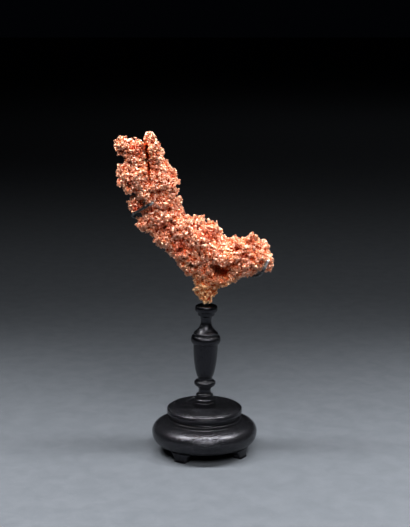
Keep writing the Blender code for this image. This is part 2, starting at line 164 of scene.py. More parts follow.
MASS_TRIANGLES = 384000
CRYSTALS_PER_PIECE = 7500
CRYSTAL_RADIUS = 0.00030
CRYSTAL_SPREAD = 0.00085
CRYSTAL_RARITY = 2.4
CRYSTAL_DEPTH = 0.00015  # the deepest hollow that has crystals
CRYSTAL_STANDING = 0.15
CRYSTAL_STRETCH = (0.7, 1.2)
CRYSTAL_TILT = 0.45
LIMB_DIRECTION = (0.75, -0.66)  # in x and z, from the head down to the arm
LIMB_MIDDLE = 0.19
CRYSTAL_STRETCHES = [  # along the limb, from its middle
    ("head_crystals", -1.0, -0.048),
    ("limb_crystals", -0.048, 0.004),
    ("arm_crystals", 0.004, 1.0),
]
CRUST_SEED = 5
CURL_SEED = 5

# Heights above the skin around it, over which the copper goes from dark to bright, partly as painted shade
# in hollows and painted highlight on crests, and how many times the skin is smoothed to find them
RELIEF_RANGE = 0.0011
RELIEF_PASSES = 10
BROAD_RANGE = 0.0042
BROAD_PASSES = 90
CREST_PASSES = 30
RELAXING = 0.6
CRYSTAL_LIFT = 0.0003
CRYSTAL_BROAD_LIFT = 0.0006

# Natural clefts on the front, as lines (x, z) from the stand's axis, and how far back they reach in y
CLEFTS = [
    [(-0.0472, 0.2700), (-0.0468, 0.2660), (-0.0466, 0.2560), (-0.0458, 0.2480), (-0.0450, 0.2400),
     (-0.0440, 0.2305)],
    [(-0.0700, 0.2468), (-0.0640, 0.2464)],
]
CLEFT_BACK = 0.0020
CLEFT_HALF_WIDTH = 0.0009
CLEFT_DEPTH = 0.0060
CLEFT_SHADE_HALF_WIDTH = 0.0011  # of the painted shade, nearly black, in the depth of a cleft
CLEFT_SHADE_WAVER = 0.00035
CLEFT_SHADE_WAVER_SIZE = 0.0030
CLEFT_SHADE_TOP = 0.2602
CLEFT_SHADE_TOP_FADE = 0.0010
CLEFT_SHADE_BOTTOM = 0.2285
CLEFT_SHADE_BOTTOM_FADE = 0.0100
CLEFT_SHADE_LEAST = 0.4

# What stands out on the front: (x, z, radius, height), from the stand's axis
SWELLINGS = [
    (-0.0660, 0.2600, 0.0045, 0.0010), (-0.0510, 0.2600, 0.0035, 0.0012), (-0.0415, 0.2550, 0.0030, 0.0014),
    (-0.0360, 0.2450, 0.0032, 0.0014), (-0.0320, 0.2405, 0.0030, 0.0012), (-0.0500, 0.2385, 0.0028, 0.0018),
    (-0.0560, 0.2465, 0.0035, 0.0012), (-0.0640, 0.2340, 0.0032, 0.0014), (-0.0620, 0.2225, 0.0030, 0.0012),
    (-0.0480, 0.2170, 0.0028, 0.0012), (-0.0270, 0.2240, 0.0040, 0.0012), (-0.0320, 0.2110, 0.0035, 0.0012),
    (-0.0175, 0.2000, 0.0045, 0.0016), (-0.0310, 0.2030, 0.0032, 0.0012), (-0.0130, 0.1920, 0.0028, 0.0016),
    (-0.0225, 0.1870, 0.0032, 0.0012), (-0.0300, 0.1825, 0.0035, 0.0014), (-0.0080, 0.1840, 0.0028, 0.0016),
    (-0.0020, 0.1750, 0.0035, 0.0012), (0.0135, 0.1640, 0.0048, 0.0026), (0.0195, 0.1680, 0.0038, 0.0018),
    (0.0165, 0.1770, 0.0040, 0.0016), (0.0370, 0.1730, 0.0035, 0.0014), (0.0400, 0.1620, 0.0040, 0.0014),
    (0.0480, 0.1690, 0.0035, 0.0012), (0.0340, 0.1600, 0.0026, 0.0014), (0.0150, 0.1475, 0.0040, 0.0014),
    (-0.0015, 0.1430, 0.0030, 0.0012), (-0.0230, 0.1680, 0.0030, 0.0010),
]
HOLLOWS = [
    (-0.0645, 0.2380, 0.0016, 0.0024), (-0.0525, 0.2512, 0.0016, 0.0026), (-0.0590, 0.2375, 0.0018, 0.0022),
    (-0.0585, 0.2325, 0.0022, 0.0024), (-0.0672, 0.2310, 0.0018, 0.0020), (-0.0405, 0.2385, 0.0020, 0.0026),
    (-0.0375, 0.2330, 0.0016, 0.0024), (-0.0350, 0.2285, 0.0014, 0.0022), (-0.0420, 0.2195, 0.0024, 0.0030),
    (-0.0365, 0.2215, 0.0018, 0.0022), (-0.0545, 0.2218, 0.0026, 0.0050), (-0.0610, 0.2252, 0.0016, 0.0026),
    (-0.0265, 0.2120, 0.0016, 0.0022), (-0.0330, 0.2070, 0.0018, 0.0018), (-0.0450, 0.1915, 0.0018, 0.0050),
    (-0.0378, 0.1885, 0.0016, 0.0026), (-0.0375, 0.1952, 0.0018, 0.0024), (-0.0320, 0.1930, 0.0024, 0.0028),
    (-0.0262, 0.1970, 0.0020, 0.0026), (-0.0195, 0.1905, 0.0020, 0.0024), (-0.0090, 0.1950, 0.0022, 0.0022),
    (-0.0033, 0.1925, 0.0024, 0.0040), (-0.0235, 0.1740, 0.0026, 0.0036), (-0.0165, 0.1755, 0.0024, 0.0026),
    (-0.0105, 0.1608, 0.0020, 0.0026), (-0.0035, 0.1705, 0.0018, 0.0024), (0.0055, 0.1655, 0.0020, 0.0028),
    (0.0125, 0.1725, 0.0014, 0.0028), (0.0135, 0.1560, 0.0060, 0.0042), (0.0070, 0.1590, 0.0024, 0.0034),
    (0.0268, 0.1745, 0.0026, 0.0026), (0.0322, 0.1690, 0.0022, 0.0030), (0.0285, 0.1655, 0.0014, 0.0024),
    (0.0385, 0.1828, 0.0014, 0.0020), (0.0440, 0.1690, 0.0016, 0.0024), (0.0360, 0.1525, 0.0018, 0.0024),
    (-0.0005, 0.1360, 0.0016, 0.0020), (0.0050, 0.1410, 0.0016, 0.0020), (-0.0070, 0.1530, 0.0024, 0.0026),
]

# Where the whole edge stands out or draws in, seen from the front: (x, z, radius, height)
EDGE_SWELLINGS = [
    (-0.0434, 0.2690, 0.0022, 0.0014), (0.0545, 0.1620, 0.0036, 0.0016), (0.0305, 0.1835, 0.0030, 0.0012),
    (-0.0560, 0.2085, 0.0030, 0.0012), (-0.0235, 0.2350, 0.0020, 0.0010), (0.0395, 0.1860, 0.0030, 0.0010),
]
EDGE_HOLLOWS = [
    (-0.0440, 0.1848, 0.0030, 0.0013), (-0.0405, 0.1795, 0.0030, 0.0013), (-0.0312, 0.1726, 0.0034, 0.0016),
    (-0.0252, 0.1661, 0.0034, 0.0016), (-0.0176, 0.1562, 0.0034, 0.0016), (0.0257, 0.1480, 0.0030, 0.0010),
    (-0.0206, 0.2299, 0.0026, 0.0013), (-0.0211, 0.2228, 0.0026, 0.0013), (-0.0651, 0.2187, 0.0030, 0.0010),
    (-0.0500, 0.2680, 0.0036, 0.0042), (-0.0539, 0.2644, 0.0030, 0.0014), (-0.0650, 0.2690, 0.0045, 0.0040),
    (-0.0372, 0.2665, 0.0030, 0.0016),
    (0.0204, 0.1836, 0.0026, 0.0012), (0.0544, 0.1737, 0.0030, 0.0010), (0.0005, 0.1959, 0.0024, 0.0010),
    (0.0144, 0.1906, 0.0030, 0.0008), (-0.0323, 0.2521, 0.0024, 0.0008),
]

# Smooth folded ribs on the front, as lines (x, z) with a half width and a height
RIBS = [
    ([(-0.0400, 0.2165), (-0.0330, 0.2200), (-0.0262, 0.2245)], 0.0011, 0.0016),
    ([(0.0290, 0.1700), (0.0340, 0.1660), (0.0400, 0.1615), (0.0460, 0.1580)], 0.0011, 0.0018),
    ([(0.0335, 0.1735), (0.0400, 0.1700), (0.0465, 0.1680)], 0.0010, 0.0014),
    ([(0.0285, 0.1790), (0.0345, 0.1800), (0.0385, 0.1830), (0.0400, 0.1860)], 0.0011, 0.0016),
    ([(0.0255, 0.1580), (0.0310, 0.1555), (0.0370, 0.1560)], 0.0011, 0.0015),
    ([(0.0080, 0.1680), (0.0110, 0.1715), (0.0160, 0.1725), (0.0205, 0.1700), (0.0215, 0.1650)],
     0.0014, 0.0020),
    ([(0.0085, 0.1490), (0.0140, 0.1478), (0.0200, 0.1480)], 0.0010, 0.0014),
    ([(-0.0080, 0.1500), (-0.0010, 0.1440), (0.0060, 0.1452)], 0.0010, 0.0014),
    ([(-0.0300, 0.1990), (-0.0235, 0.2025), (-0.0165, 0.2040)], 0.0011, 0.0014),
    ([(-0.0420, 0.2550), (-0.0385, 0.2480), (-0.0335, 0.2440)], 0.0010, 0.0014),
    ([(-0.0685, 0.2395), (-0.0640, 0.2420), (-0.0575, 0.2410), (-0.0520, 0.2440)], 0.0011, 0.0014),
]

# Hooks and loops that stand free of the mass, as lines (x, y, z) with the wire's radius
CURLS = [
    ([(0.0350, -0.004, 0.1800), (0.0360, -0.005, 0.1828), (0.0385, -0.005, 0.1842),
      (0.0412, -0.005, 0.1838), (0.0428, -0.004, 0.1818)], 0.0014),
    ([(-0.0262, -0.004, 0.2320), (-0.0235, -0.004, 0.2345), (-0.0232, -0.004, 0.2368),
      (-0.0250, -0.004, 0.2380)], 0.0007),
    ([(0.0500, -0.004, 0.1670), (0.0530, -0.005, 0.1655), (0.0545, -0.006, 0.1625),
      (0.0535, -0.007, 0.1595)], 0.0018),
    ([(-0.0560, -0.004, 0.2640), (-0.0567, -0.004, 0.2630)], 0.0009),
]
CURL_STEP = 0.45  # of the wire's radius, between the knobs that make it up
CURL_STRETCH = (0.8, 1.1)

# Places, most of them hollows, where the copper is painted darker and redder as painted shade: centre from
# the stand's axis, and reach
PAINTED_SHADE_PLACES = [
    ((-0.0200, -0.014, 0.1750), 0.0060),
    ((-0.0040, -0.014, 0.1925), 0.0035),
    ((0.0060, -0.012, 0.1880), 0.0070),
    ((-0.0515, -0.010, 0.1965), 0.0030),
    ((-0.0405, -0.012, 0.2385), 0.0035),
    ((-0.0672, -0.004, 0.2310), 0.0028),
    ((-0.0550, -0.008, 0.2560), 0.0050),
    ((-0.0560, -0.006, 0.2070), 0.0045),
    ((-0.0590, -0.006, 0.2330), 0.0040),
    ((0.0268, -0.010, 0.1745), 0.0035),
    ((0.0322, -0.010, 0.1685), 0.0030),
    ((0.0130, -0.008, 0.1560), 0.0060),
    ((-0.0320, -0.012, 0.1930), 0.0050),
    ((0.0385, -0.004, 0.1830), 0.0025),
]
GOLDEN_PLACES = [
    ((0.0000, 0.000, 0.1380), 0.0140),
    ((0.0130, 0.000, 0.1460), 0.0110),
    ((0.0190, -0.010, 0.1700), 0.0050),
    ((-0.0450, -0.010, 0.2500), 0.0040),
    ((-0.0130, -0.010, 0.1640), 0.0040),
    ((-0.0015, -0.008, 0.1420), 0.0060),
]

# The copper's colour, from its hollows to its crests: dark red and nearly black at the lowest, partly oxide
# and partly painted shade, and creamy on crests, partly painted highlight
COPPER_SHADES = [
    (0.01, (0.050, 0.008, 0.004)),
    (0.12, (0.400, 0.025, 0.004)),
    (0.32, (0.710, 0.092, 0.018)),
    (0.50, (0.955, 0.248, 0.079)),
    (0.70, (0.990, 0.435, 0.220)),
    (0.90, (1.000, 0.635, 0.475)),
]

# Other colours
REDDER_TONE_AND_SHADE = (0.95, 0.42, 0.30, 1.0)
GOLDEN = (0.90, 0.62, 0.34, 1.0)
COPPER_GLINT = (1.0, 0.66, 0.50, 1.0)
STAINED_WOOD = (0.0009, 0.0010, 0.0014, 1.0)
DISC_STREAKS = (0.0022, 0.0021, 0.0025, 1.0)
SPINDLE_STREAKS = (0.0019, 0.0019, 0.0023, 1.0)
WORN_WOOD = (0.020, 0.019, 0.020, 1.0)
WOOD_GLINT = (0.86, 0.85, 1.0, 1.0)
WOOD_DUST = (0.05, 0.051, 0.054, 1.0)
STEEL_PAINT = (0.008, 0.008, 0.009, 1.0)
BARE_STEEL = (0.62, 0.62, 0.63, 1.0)
STEEL_DUST = (0.16, 0.15, 0.14, 1.0)
PAPER_SHADES = [(0.35, (0.066, 0.073, 0.083)), (0.65, (0.076, 0.083, 0.094))]
PAPER_FIBRES = (0.17, 0.18, 0.19, 1.0)

# Studio
FLOOR_SIZE = 24.0
SOFTBOXES = [  # name, place from the stand's axis, what it faces, size, watts, spread in degrees
    ("softbox_left", (-0.46, -0.04, 0.80), (-0.42, -0.26, 0.0), (0.36, 0.10), 5.8, 92.0),
    ("softbox_right", (0.52, -0.02, 0.80), (0.50, -0.24, 0.0), (0.36, 0.10), 7.1, 92.0),
    ("top_light", (0.03, -0.06, 0.95), (0.03, -0.24, 0.0), (0.44, 0.08), 3.2, 92.0),
    ("front_light", (0.25, -1.50, 1.50), (0.10, -0.06, 0.0), (2.4, 1.2), 7.8, 37.0),
    ("back_glow", (0.90, 2.30, 1.60), (1.00, 2.60, 0.0), (2.6, 1.6), 1.0, 130.0),
]
WORLD_COLOUR = (0.5, 0.62, 1.0, 1.0)
WORLD_STRENGTH = 0.0012

# Camera, placed from the stand's axis and the floor
CAMERA_RIGHT = 0.0005
CAMERA_BACK = 1.0446
CAMERA_HEIGHT = 0.3728
CAMERA_PITCH = math.radians(11.5)
CAMERA_LENS = 88.8
SENSOR_HEIGHT = 36.0
CAMERA_REACH = 50.0


def new_object(name, mesh):
    obj = bpy.data.objects.new(name, mesh)
    bpy.context.scene.collection.objects.link(obj)
    return obj


def baked_mesh(obj):
    """The object's mesh with its modifiers or its bevel carried out."""
    bpy.context.view_layer.update()
    graph = bpy.context.evaluated_depsgraph_get()
    return bpy.data.meshes.new_from_object(obj.evaluated_get(graph))


def finish_piece(obj, material, slot, *nodes):
    obj.data.materials.clear()
    obj.data.materials.append(material)
    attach(obj, "root")
    if nodes:
        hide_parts(*nodes)


def points_of(mesh):
    flat = np.empty(len(mesh.vertices) * 3, np.float32)
    mesh.vertices.foreach_get("co", flat)
    return flat.reshape(-1, 3).astype(np.float64)


def normals_of(mesh):
    flat = np.empty(len(mesh.vertices) * 3, np.float32)
    mesh.vertex_normals.foreach_get("vector", flat)
    return flat.reshape(-1, 3).astype(np.float64)


def add_remesh(obj, voxel):
    remesh = obj.modifiers.new("Remesh", "REMESH")
    remesh.mode = "VOXEL"
    remesh.voxel_size = voxel


def add_smoothing(obj):
    smooth = obj.modifiers.new("Smooth", "SMOOTH")
    smooth.factor = SMOOTHING
    smooth.iterations = SMOOTHING_PASSES


def put_points(mesh, points):
    mesh.vertices.foreach_set("co", points.astype(np.float32).ravel())
    mesh.update()


def paint(mesh, name, values):
    """Keeps one number a point, for the material to read."""
    attribute = mesh.attributes.new(name, "FLOAT", "POINT")
    attribute.data.foreach_set("value", values.astype(np.float32))


# Copper


def keep_largest_body(mesh):
    bm = bmesh.new()
    bm.from_mesh(mesh)
    unseen = set(bm.verts)
    bodies = []
    while unseen:
        body = []
        stack = [unseen.pop()]
        while stack:
            vertex = stack.pop()
            body.append(vertex)
            for edge in vertex.link_edges:
                other = edge.other_vert(vertex)
                if other in unseen:
                    unseen.remove(other)
                    stack.append(other)
        bodies.append(body)
    bodies.sort(key=len)
    for body in bodies[:-1]:
        bmesh.ops.delete(bm, geom=body, context="VERTS")
    bm.to_mesh(mesh)
    bm.free()


def fused(mesh, voxel):
    """One closed skin round everything in the mesh, with what isn't joined to it left out."""
    obj = new_object("fusing", mesh)
    add_remesh(obj, voxel)
    skin = baked_mesh(obj)
    bpy.data.objects.remove(obj)
    keep_largest_body(skin)
    return skin


def neighbour_sums(mesh):
    edges = np.empty(len(mesh.edges) * 2, np.int32)
    mesh.edges.foreach_get("vertices", edges)
    edges = edges.reshape(-1, 2)
    starts = np.concatenate([edges[:, 0], edges[:, 1]])
    ends = np.concatenate([edges[:, 1], edges[:, 0]])
    counts = np.bincount(starts, minlength=len(mesh.vertices))
    return starts, ends, np.maximum(counts, 1)[:, None]


def smoothed(points, links, passes):
    starts, ends, counts = links
    for _ in range(passes):
        sums = np.stack([np.bincount(starts, points[ends, axis], len(points)) for axis in range(3)], 1)
        points = (1.0 - RELAXING) * points + RELAXING * sums / counts
    return points


def cells(points, size):
    """Distances to the nearest and the next cell centre, in cell sizes, in a field of random cells."""
    found = [noise.voronoi(Vector(point))[0][:2] for point in points / size]
    return np.array(found).T


def waves(points, size):
    """A smooth field that wanders above and below 0, with finer waves on the broad ones."""
    places = [Vector(point) for point in points / size]
    return np.array([noise.fractal(place, WAVE_FALL, WAVE_STEP, WAVE_OCTAVES) for place in places])


def steel_nearest(points):
    """How far each point is from the nearest steel route, and the step from the point to it."""
    nearest = np.full(len(points), 1.0)
    step = np.zeros((len(points), 3))
    for route in STEEL_ROUTES:
        corners = np.array(route) + np.array(AXIS)
        for start, end in zip(corners[:-1], corners[1:]):
            along = end - start
            share = np.clip((points - start) @ along / (along @ along), 0.0, 1.0)
            towards = start + share[:, None] * along - points
            away = np.linalg.norm(towards, axis=1)
            closer = away < nearest
            nearest = np.where(closer, away, nearest)
            step = np.where(closer[:, None], towards, step)
    return nearest, step


def steel_distance(points):
    return steel_nearest(points)[0]


def hugging(points):
    """The skin drawn in round the steel that shows on the front, as if bent about it."""
    away, step = steel_nearest(points)
    share = np.clip((away - HUG_RADIUS) / (HUG_REACH - HUG_RADIUS), 0.0, 1.0)
    wanted = HUG_RADIUS + (HUG_REACH - HUG_RADIUS) * share**4
    shown = np.clip((HUG_BACK - points[:, 1]) / HUG_FADE, 0.0, 1.0)
    near = (away > HUG_RADIUS) & (away < HUG_REACH)
    pull = np.where(near, (away - wanted) / away, 0.0) * shown
    return points + step * pull[:, None]


def random_turns(rng, count):
    """Random rotation matrices, from normalised quaternions."""
    w, x, y, z = rng.normal(size=(4, count))
    length = np.sqrt(w * w + x * x + y * y + z * z)
    w, x, y, z = w / length, x / length, y / length, z / length
    rows = [
        [1 - 2 * (y * y + z * z), 2 * (x * y - z * w), 2 * (x * z + y * w)],
        [2 * (x * y + z * w), 1 - 2 * (x * x + z * z), 2 * (y * z - x * w)],
        [2 * (x * z - y * w), 2 * (y * z + x * w), 1 - 2 * (x * x + y * y)],
    ]
    return np.moveaxis(np.array(rows), 2, 0)


def template(build):
    """Points and triangles of one small solid, made in bmesh round the origin with radius about 1."""
    bm = bmesh.new()
    build(bm)
    bmesh.ops.triangulate(bm, faces=bm.faces)
    points = np.array([vertex.co[:] for vertex in bm.verts])
    faces = np.array([[vertex.index for vertex in face.verts] for face in bm.faces])
    bm.free()
    return points, faces


def copies(shape, centres, turns, sizes):
    """One body for each centre: points of shape (count, n, 3) flattened, and their triangles."""
    points, faces = shape
    placed = np.einsum("cij,cnj->cni", turns, points[None] * sizes[:, None, :]) + centres[:, None, :]
    offsets = (np.arange(len(centres)) * len(points))[:, None, None]
    return placed.reshape(-1, 3), (faces[None] + offsets).reshape(-1, 3)


def mesh_of(name, points, faces):
    mesh = bpy.data.meshes.new(name)
    mesh.from_pydata(points.tolist(), [], faces.tolist())
    return mesh


def joined(name, *pairs):
    """One mesh from several (points, faces)."""
    points = np.concatenate([pair[0] for pair in pairs])
    faces = []
    start = 0
    for pair in pairs:
        faces.append(pair[1] + start)
        start += len(pair[0])
    return mesh_of(name, points, np.concatenate(faces))


def triangles_of(mesh):
    mesh.calc_loop_triangles()
    flat = np.empty(len(mesh.loop_triangles) * 3, np.int32)
    mesh.loop_triangles.foreach_get("vertices", flat)
    return flat.reshape(-1, 3)


def roughened(bm, size, depth):
    for vertex in bm.verts:
        vertex.co *= 1.0 + depth * noise.noise(vertex.co / size)


def knob(bm):
    bmesh.ops.create_icosphere(bm, subdivisions=2, radius=1.0)
    roughened(bm, 0.55, 0.6)


def block(bm):
    """A cube-like knob with its edges rounded."""
    bmesh.ops.create_icosphere(bm, subdivisions=2, radius=1.0)
    for vertex in bm.verts:
        vertex.co = Vector([math.copysign(abs(value) ** 0.5, value) for value in vertex.co]) * 0.85
    roughened(bm, 0.8, 0.3)


def finger(bm):
    """A short bent twig."""
    bmesh.ops.create_icosphere(bm, subdivisions=2, radius=1.0)
    for vertex in bm.verts:
        vertex.co.x *= 0.5
        vertex.co.y *= 0.5
        vertex.co.z *= 1.7
        vertex.co.x += 0.35 * vertex.co.z * vertex.co.z
    roughened(bm, 0.6, 0.4)


def leaf(bm):
    """A thin curled plate."""
    bmesh.ops.create_icosphere(bm, subdivisions=2, radius=1.0)
    for vertex in bm.verts:
        vertex.co.z = vertex.co.z * 0.28 + 0.45 * vertex.co.x * vertex.co.x
        vertex.co.x *= 1.3
    roughened(bm, 0.7, 0.45)


NODULE_FORMS = [knob, block, finger, leaf]


def ridges(points, size):
    """A field that is +0.5 along thin winding crests and falls away on both sides."""
    return 0.5 - RIDGE_STEEPNESS * np.abs(waves(points, size))


def line_distance(points, line):
    """How far each point is, seen from the front, from a line of (x, z)."""
    nearest = np.full(len(points), 1.0)
    flat = points[:, [0, 2]] - np.array([AXIS.x, 0.0])
    corners = np.array(line)
    for start, end in zip(corners[:-1], corners[1:]):
        along = end - start
        share = np.clip((flat - start) @ along / (along @ along), 0.0, 1.0)
        nearest = np.minimum(nearest, np.linalg.norm(flat - start - share[:, None] * along, axis=1))
    return nearest


def cleft_distance(points):
    """How far each point is from the middle of the nearest natural cleft, if it lies far enough forward."""
    nearest = np.min([line_distance(points, line) for line in CLEFTS], axis=0)
    return np.where(points[:, 1] < CLEFT_BACK, nearest, 1.0)


def on_rib(points):
    """True for points on the front that lie on a smooth rib."""
    rib = np.min([line_distance(points, line) / width for line, width, _ in RIBS], axis=0)
    return (rib < 1.0) & (points[:, 1] < 0.0)


def hollow_distance(points):
    """How far each point is, seen from the front, from the rim of the nearest hollow."""
    nearest = np.full(len(points), 1.0)
    for x, z, radius, _ in HOLLOWS:
        away = np.hypot(points[:, 0] - AXIS.x - x, points[:, 2] - z) - radius
        nearest = np.minimum(nearest, np.where(points[:, 1] < 0.0, away, 1.0))
    return nearest


def placed_relief(points, normals):
    """The named swellings, hollows and ribs, as a height along the normal."""
    height = np.zeros(len(points))
    front = np.clip(FRONT_FACING - normals[:, 1], 0.0, 1.0)
    kinds = [
        (SWELLINGS, 1.0, front),
        (HOLLOWS, -1.0, front),
        (EDGE_SWELLINGS, 1.0, 1.0),
        (EDGE_HOLLOWS, -1.0, 1.0),
    ]
    for places, sign, share in kinds:
        for x, z, radius, depth in places:
            away = np.hypot(points[:, 0] - AXIS.x - x, points[:, 2] - z) / radius
            height += sign * depth * np.exp(-(away ** 4)) * share
    for line, width, rise in RIBS:
        height += rise * np.exp(-((line_distance(points, line) / width) ** 2)) * front
    return height


def with_slot_floor(solid):
    """The nugget's solid, with copper added in the depth of the slot that the left claw lies in."""
    bm = bmesh.new()
    bm.from_mesh(solid)
    for start, end in zip(SLOT_FLOOR[:-1], SLOT_FLOOR[1:]):
        for step in range(SLOT_FLOOR_STEPS):
            place = Vector(start).lerp(Vector(end), step / SLOT_FLOOR_STEPS) + AXIS
            bmesh.ops.create_icosphere(
                bm, subdivisions=2, radius=SLOT_FLOOR_RADIUS, matrix=Matrix.Translation(place))
    mesh = bpy.data.meshes.new("filled")
    bm.to_mesh(mesh)
    bm.free()
    return mesh


def copper_core(solid):
    """The nugget's solid with its facets smoothed away and its skin swollen into clumps."""
    core = new_object("core", with_slot_floor(solid))
    add_remesh(core, CORE_VOXEL)
    add_smoothing(core)
    mesh = baked_mesh(core)
    bpy.data.objects.remove(core)
    points = points_of(mesh)
    normals = normals_of(mesh)
    bent = points + BEND * np.stack([waves(points + shift, BEND_SIZE) for shift in (0.0, 0.3, 0.7)], 1)
    near, following = cells(bent, CLUMP_SIZE)
    height = CLUMP_HEIGHT * (np.clip(following - near, 0.0, CLUMP_FLAT) - CLUMP_SINK)
    height += RIDGE_HEIGHT * ridges(points, RIDGE_SIZE) + placed_relief(points, normals)
    room = np.clip((steel_distance(points) - STEEL_MARGIN) / FADE, 0.0, 1.0)
    room = np.minimum(room, np.clip((cleft_distance(points) - CLEFT_HALF_WIDTH) / FADE, 0.0, 1.0))
    moved = points + normals * np.where(height > 0, height * room, height)[:, None]
    moved[:, 1] += CLEFT_DEPTH * np.exp(-((cleft_distance(points) / CLEFT_HALF_WIDTH) ** 2))
    put_points(mesh, moved)
    return mesh


def curls():
    """Copper wires bent into hooks and loops, as chains of knobs."""
    rng = np.random.default_rng(CURL_SEED)
    centres = []
    sizes = []
    for points, radius in CURLS:
        corners = np.array(points)
        for start, end in zip(corners[:-1], corners[1:]):
            steps = max(2, int(np.linalg.norm(end - start) / (CURL_STEP * radius)))
            for step in range(steps):
                centres.append(start + (end - start) * step / steps)
                sizes.append(radius)
        centres.append(corners[-1])
        sizes.append(radius)
    centres = np.array(centres) + np.array(AXIS)
    sizes = np.array(sizes)[:, None] * rng.uniform(*CURL_STRETCH, (len(sizes), 3))
    return copies(template(knob), centres, random_turns(rng, len(centres)), sizes)


def grown_nodules(core, rng):
    """Knobs, blocks, twigs and curled plates all over the core, most of them on its high places."""
    points = points_of(core)
    normals = normals_of(core)
    triangles = triangles_of(core)
    corners = points[triangles]
    areas = np.linalg.norm(np.cross(corners[:, 1] - corners[:, 0], corners[:, 2] - corners[:, 0]), axis=1)
    high = np.clip(0.5 + relief_of(core, CREST_PASSES) / NODULE_HEIGHTS, NODULE_LEAST, 1.0)
    weights = areas * high[triangles[:, 0]]
    chosen = rng.choice(len(triangles), NODULE_COUNT, p=weights / weights.sum())
    centres = corners[chosen].mean(1)
    outward = normals[triangles[chosen, 0]]
    radius = NODULE_RADIUS + NODULE_SPREAD * rng.random(NODULE_COUNT) ** NODULE_RARITY
    clear = steel_distance(centres) > radius + STEEL_MARGIN - CRUST_NEARER
    clear &= cleft_distance(centres) > radius * CLEFT_ROOM + CLEFT_HALF_WIDTH
    clear &= hollow_distance(centres) > radius * HOLLOW_ROOM
    clear &= ~on_rib(centres)
    centres, outward, radius = centres[clear], outward[clear], radius[clear]
    count = len(centres)
    centres = centres + outward * (radius * rng.uniform(*NODULE_STANDING, count))[:, None]
    sizes = radius[:, None] * rng.uniform(*NODULE_STRETCH, (count, 3))
    turns = random_turns(rng, count)
    upright = frames_towards(outward + rng.normal(scale=NODULE_TILT, size=(count, 3)), rng)
    share = count // len(NODULE_FORMS)
    parts = [(points, triangles), curls()]
    for index, form in enumerate(NODULE_FORMS):
        some = slice(index * share, (index + 1) * share)
        turning = upright if form is finger else turns
        parts.append(copies(template(form), centres[some], turning[some], sizes[some]))
    return joined("nugget", *parts)


def copper_mass(solid):
    """One closed skin: the core with its nodules fused on, hackled, with faces only where needed."""
    rng = np.random.default_rng(CRUST_SEED)
    core = fused(copper_core(solid), CORE_VOXEL)
    skin = fused(grown_nodules(core, rng), SKIN_VOXEL)
    put_points(skin, hugging(points_of(skin)))
    points = points_of(skin)
    normals = normals_of(skin)
    hackle = HACKLE_HEIGHT * ridges(points, HACKLE_SIZE)
    put_points(skin, points + normals * hackle[:, None])
    obj = new_object("thinning", skin)
    decimate = obj.modifiers.new("Decimate", "DECIMATE")
    decimate.ratio = MASS_TRIANGLES / len(triangles_of(skin))
    decimate.use_collapse_triangulate = True
    mass = baked_mesh(obj)
    bpy.data.objects.remove(obj)
    return mass


def relief_of(mesh, passes):
    """How far each point stands above (+) or below (-) the skin smoothed around it."""
    links = neighbour_sums(mesh)
    points = points_of(mesh)
    soft = smoothed(points, links, passes)
    return ((points - soft) * normals_of(mesh)).sum(1)


def truncated_cube(bm):
    """A cube with its corners cut off, as copper's blocky crystals have."""
    bmesh.ops.create_cube(bm, size=1.5)
    bmesh.ops.bevel(bm, geom=list(bm.verts), offset=0.55, segments=1, affect="VERTICES")


def four_sided_cube(bm):
    """A cube with a low pyramid on each face."""
    bmesh.ops.create_cube(bm, size=1.35)
    bmesh.ops.poke(bm, faces=list(bm.faces), offset=0.26)


def spike(bm):
    """Half of a drawn-out octahedron, point up."""
    bmesh.ops.create_cone(bm, segments=4, radius1=0.72, radius2=0.0, depth=1.6, cap_ends=True)
    for vertex in bm.verts:
        vertex.co.z += 0.4


# Each crystal form and its share of the crystals
CRYSTAL_FORMS = [(truncated_cube, 0.2), (four_sided_cube, 0.3), (spike, 0.5)]


def crystal_piece(name, mass, relief, rng, low, high):
    """Small faceted crystals on the high places of the mass, over one stretch of its length."""
    points = points_of(mass)
    normals = normals_of(mass)
    across, down = LIMB_DIRECTION
    along = across * (points[:, 0] - AXIS.x) + down * (points[:, 2] - LIMB_MIDDLE)
    room = steel_distance(points) > STEEL_MARGIN - CRUST_NEARER
    room &= cleft_distance(points) > CLEFT_HALF_WIDTH
    here = (along >= low) & (along < high) & room
    weight = np.where(here, np.clip(relief + CRYSTAL_DEPTH, 0.0, None), 0.0)
    chosen = rng.choice(len(points), CRYSTALS_PER_PIECE, replace=False, p=weight / weight.sum())
    size = CRYSTAL_RADIUS + CRYSTAL_SPREAD * rng.random(len(chosen)) ** CRYSTAL_RARITY
    turns = random_turns(rng, len(chosen))
    outward = normals[chosen]
    upright = frames_towards(outward + rng.normal(scale=CRYSTAL_TILT, size=(len(chosen), 3)), rng)
    centres = points[chosen] + outward * (size * CRYSTAL_STANDING)[:, None]
    parts = []
    lifts = []
    start = 0
    for form, share in CRYSTAL_FORMS:
        some = slice(start, start + int(share * len(chosen)))
        start = some.stop
        turning = upright if form is spike else turns
        sizes = size[some, None] * rng.uniform(*CRYSTAL_STRETCH, (len(size[some]), 3))
        shape = template(form)
        parts.append(copies(shape, centres[some], turning[some], sizes))
        lifts.append(np.repeat(relief[chosen[some]], len(shape[0])))
    return joined(name, *parts), np.concatenate(lifts)


def frames_towards(directions, rng):
    """Rotation matrices whose third axis points along each direction, spun at random about it."""
    up = directions / np.linalg.norm(directions, axis=1)[:, None]
    side = np.cross(up, rng.normal(size=up.shape))
    side /= np.linalg.norm(side, axis=1)[:, None]
    return np.stack([side, np.cross(up, side), up], axis=2)


def nearness(points, places):
    """1 in the middle of a named place, falling to 0 at about twice its reach."""
    total = np.zeros(len(points))
    for centre, reach in places:
        away = np.linalg.norm(points - (np.array(centre) + np.array(AXIS)), axis=1)
        total = np.maximum(total, np.exp(-((away / reach) ** 2)))
    return total


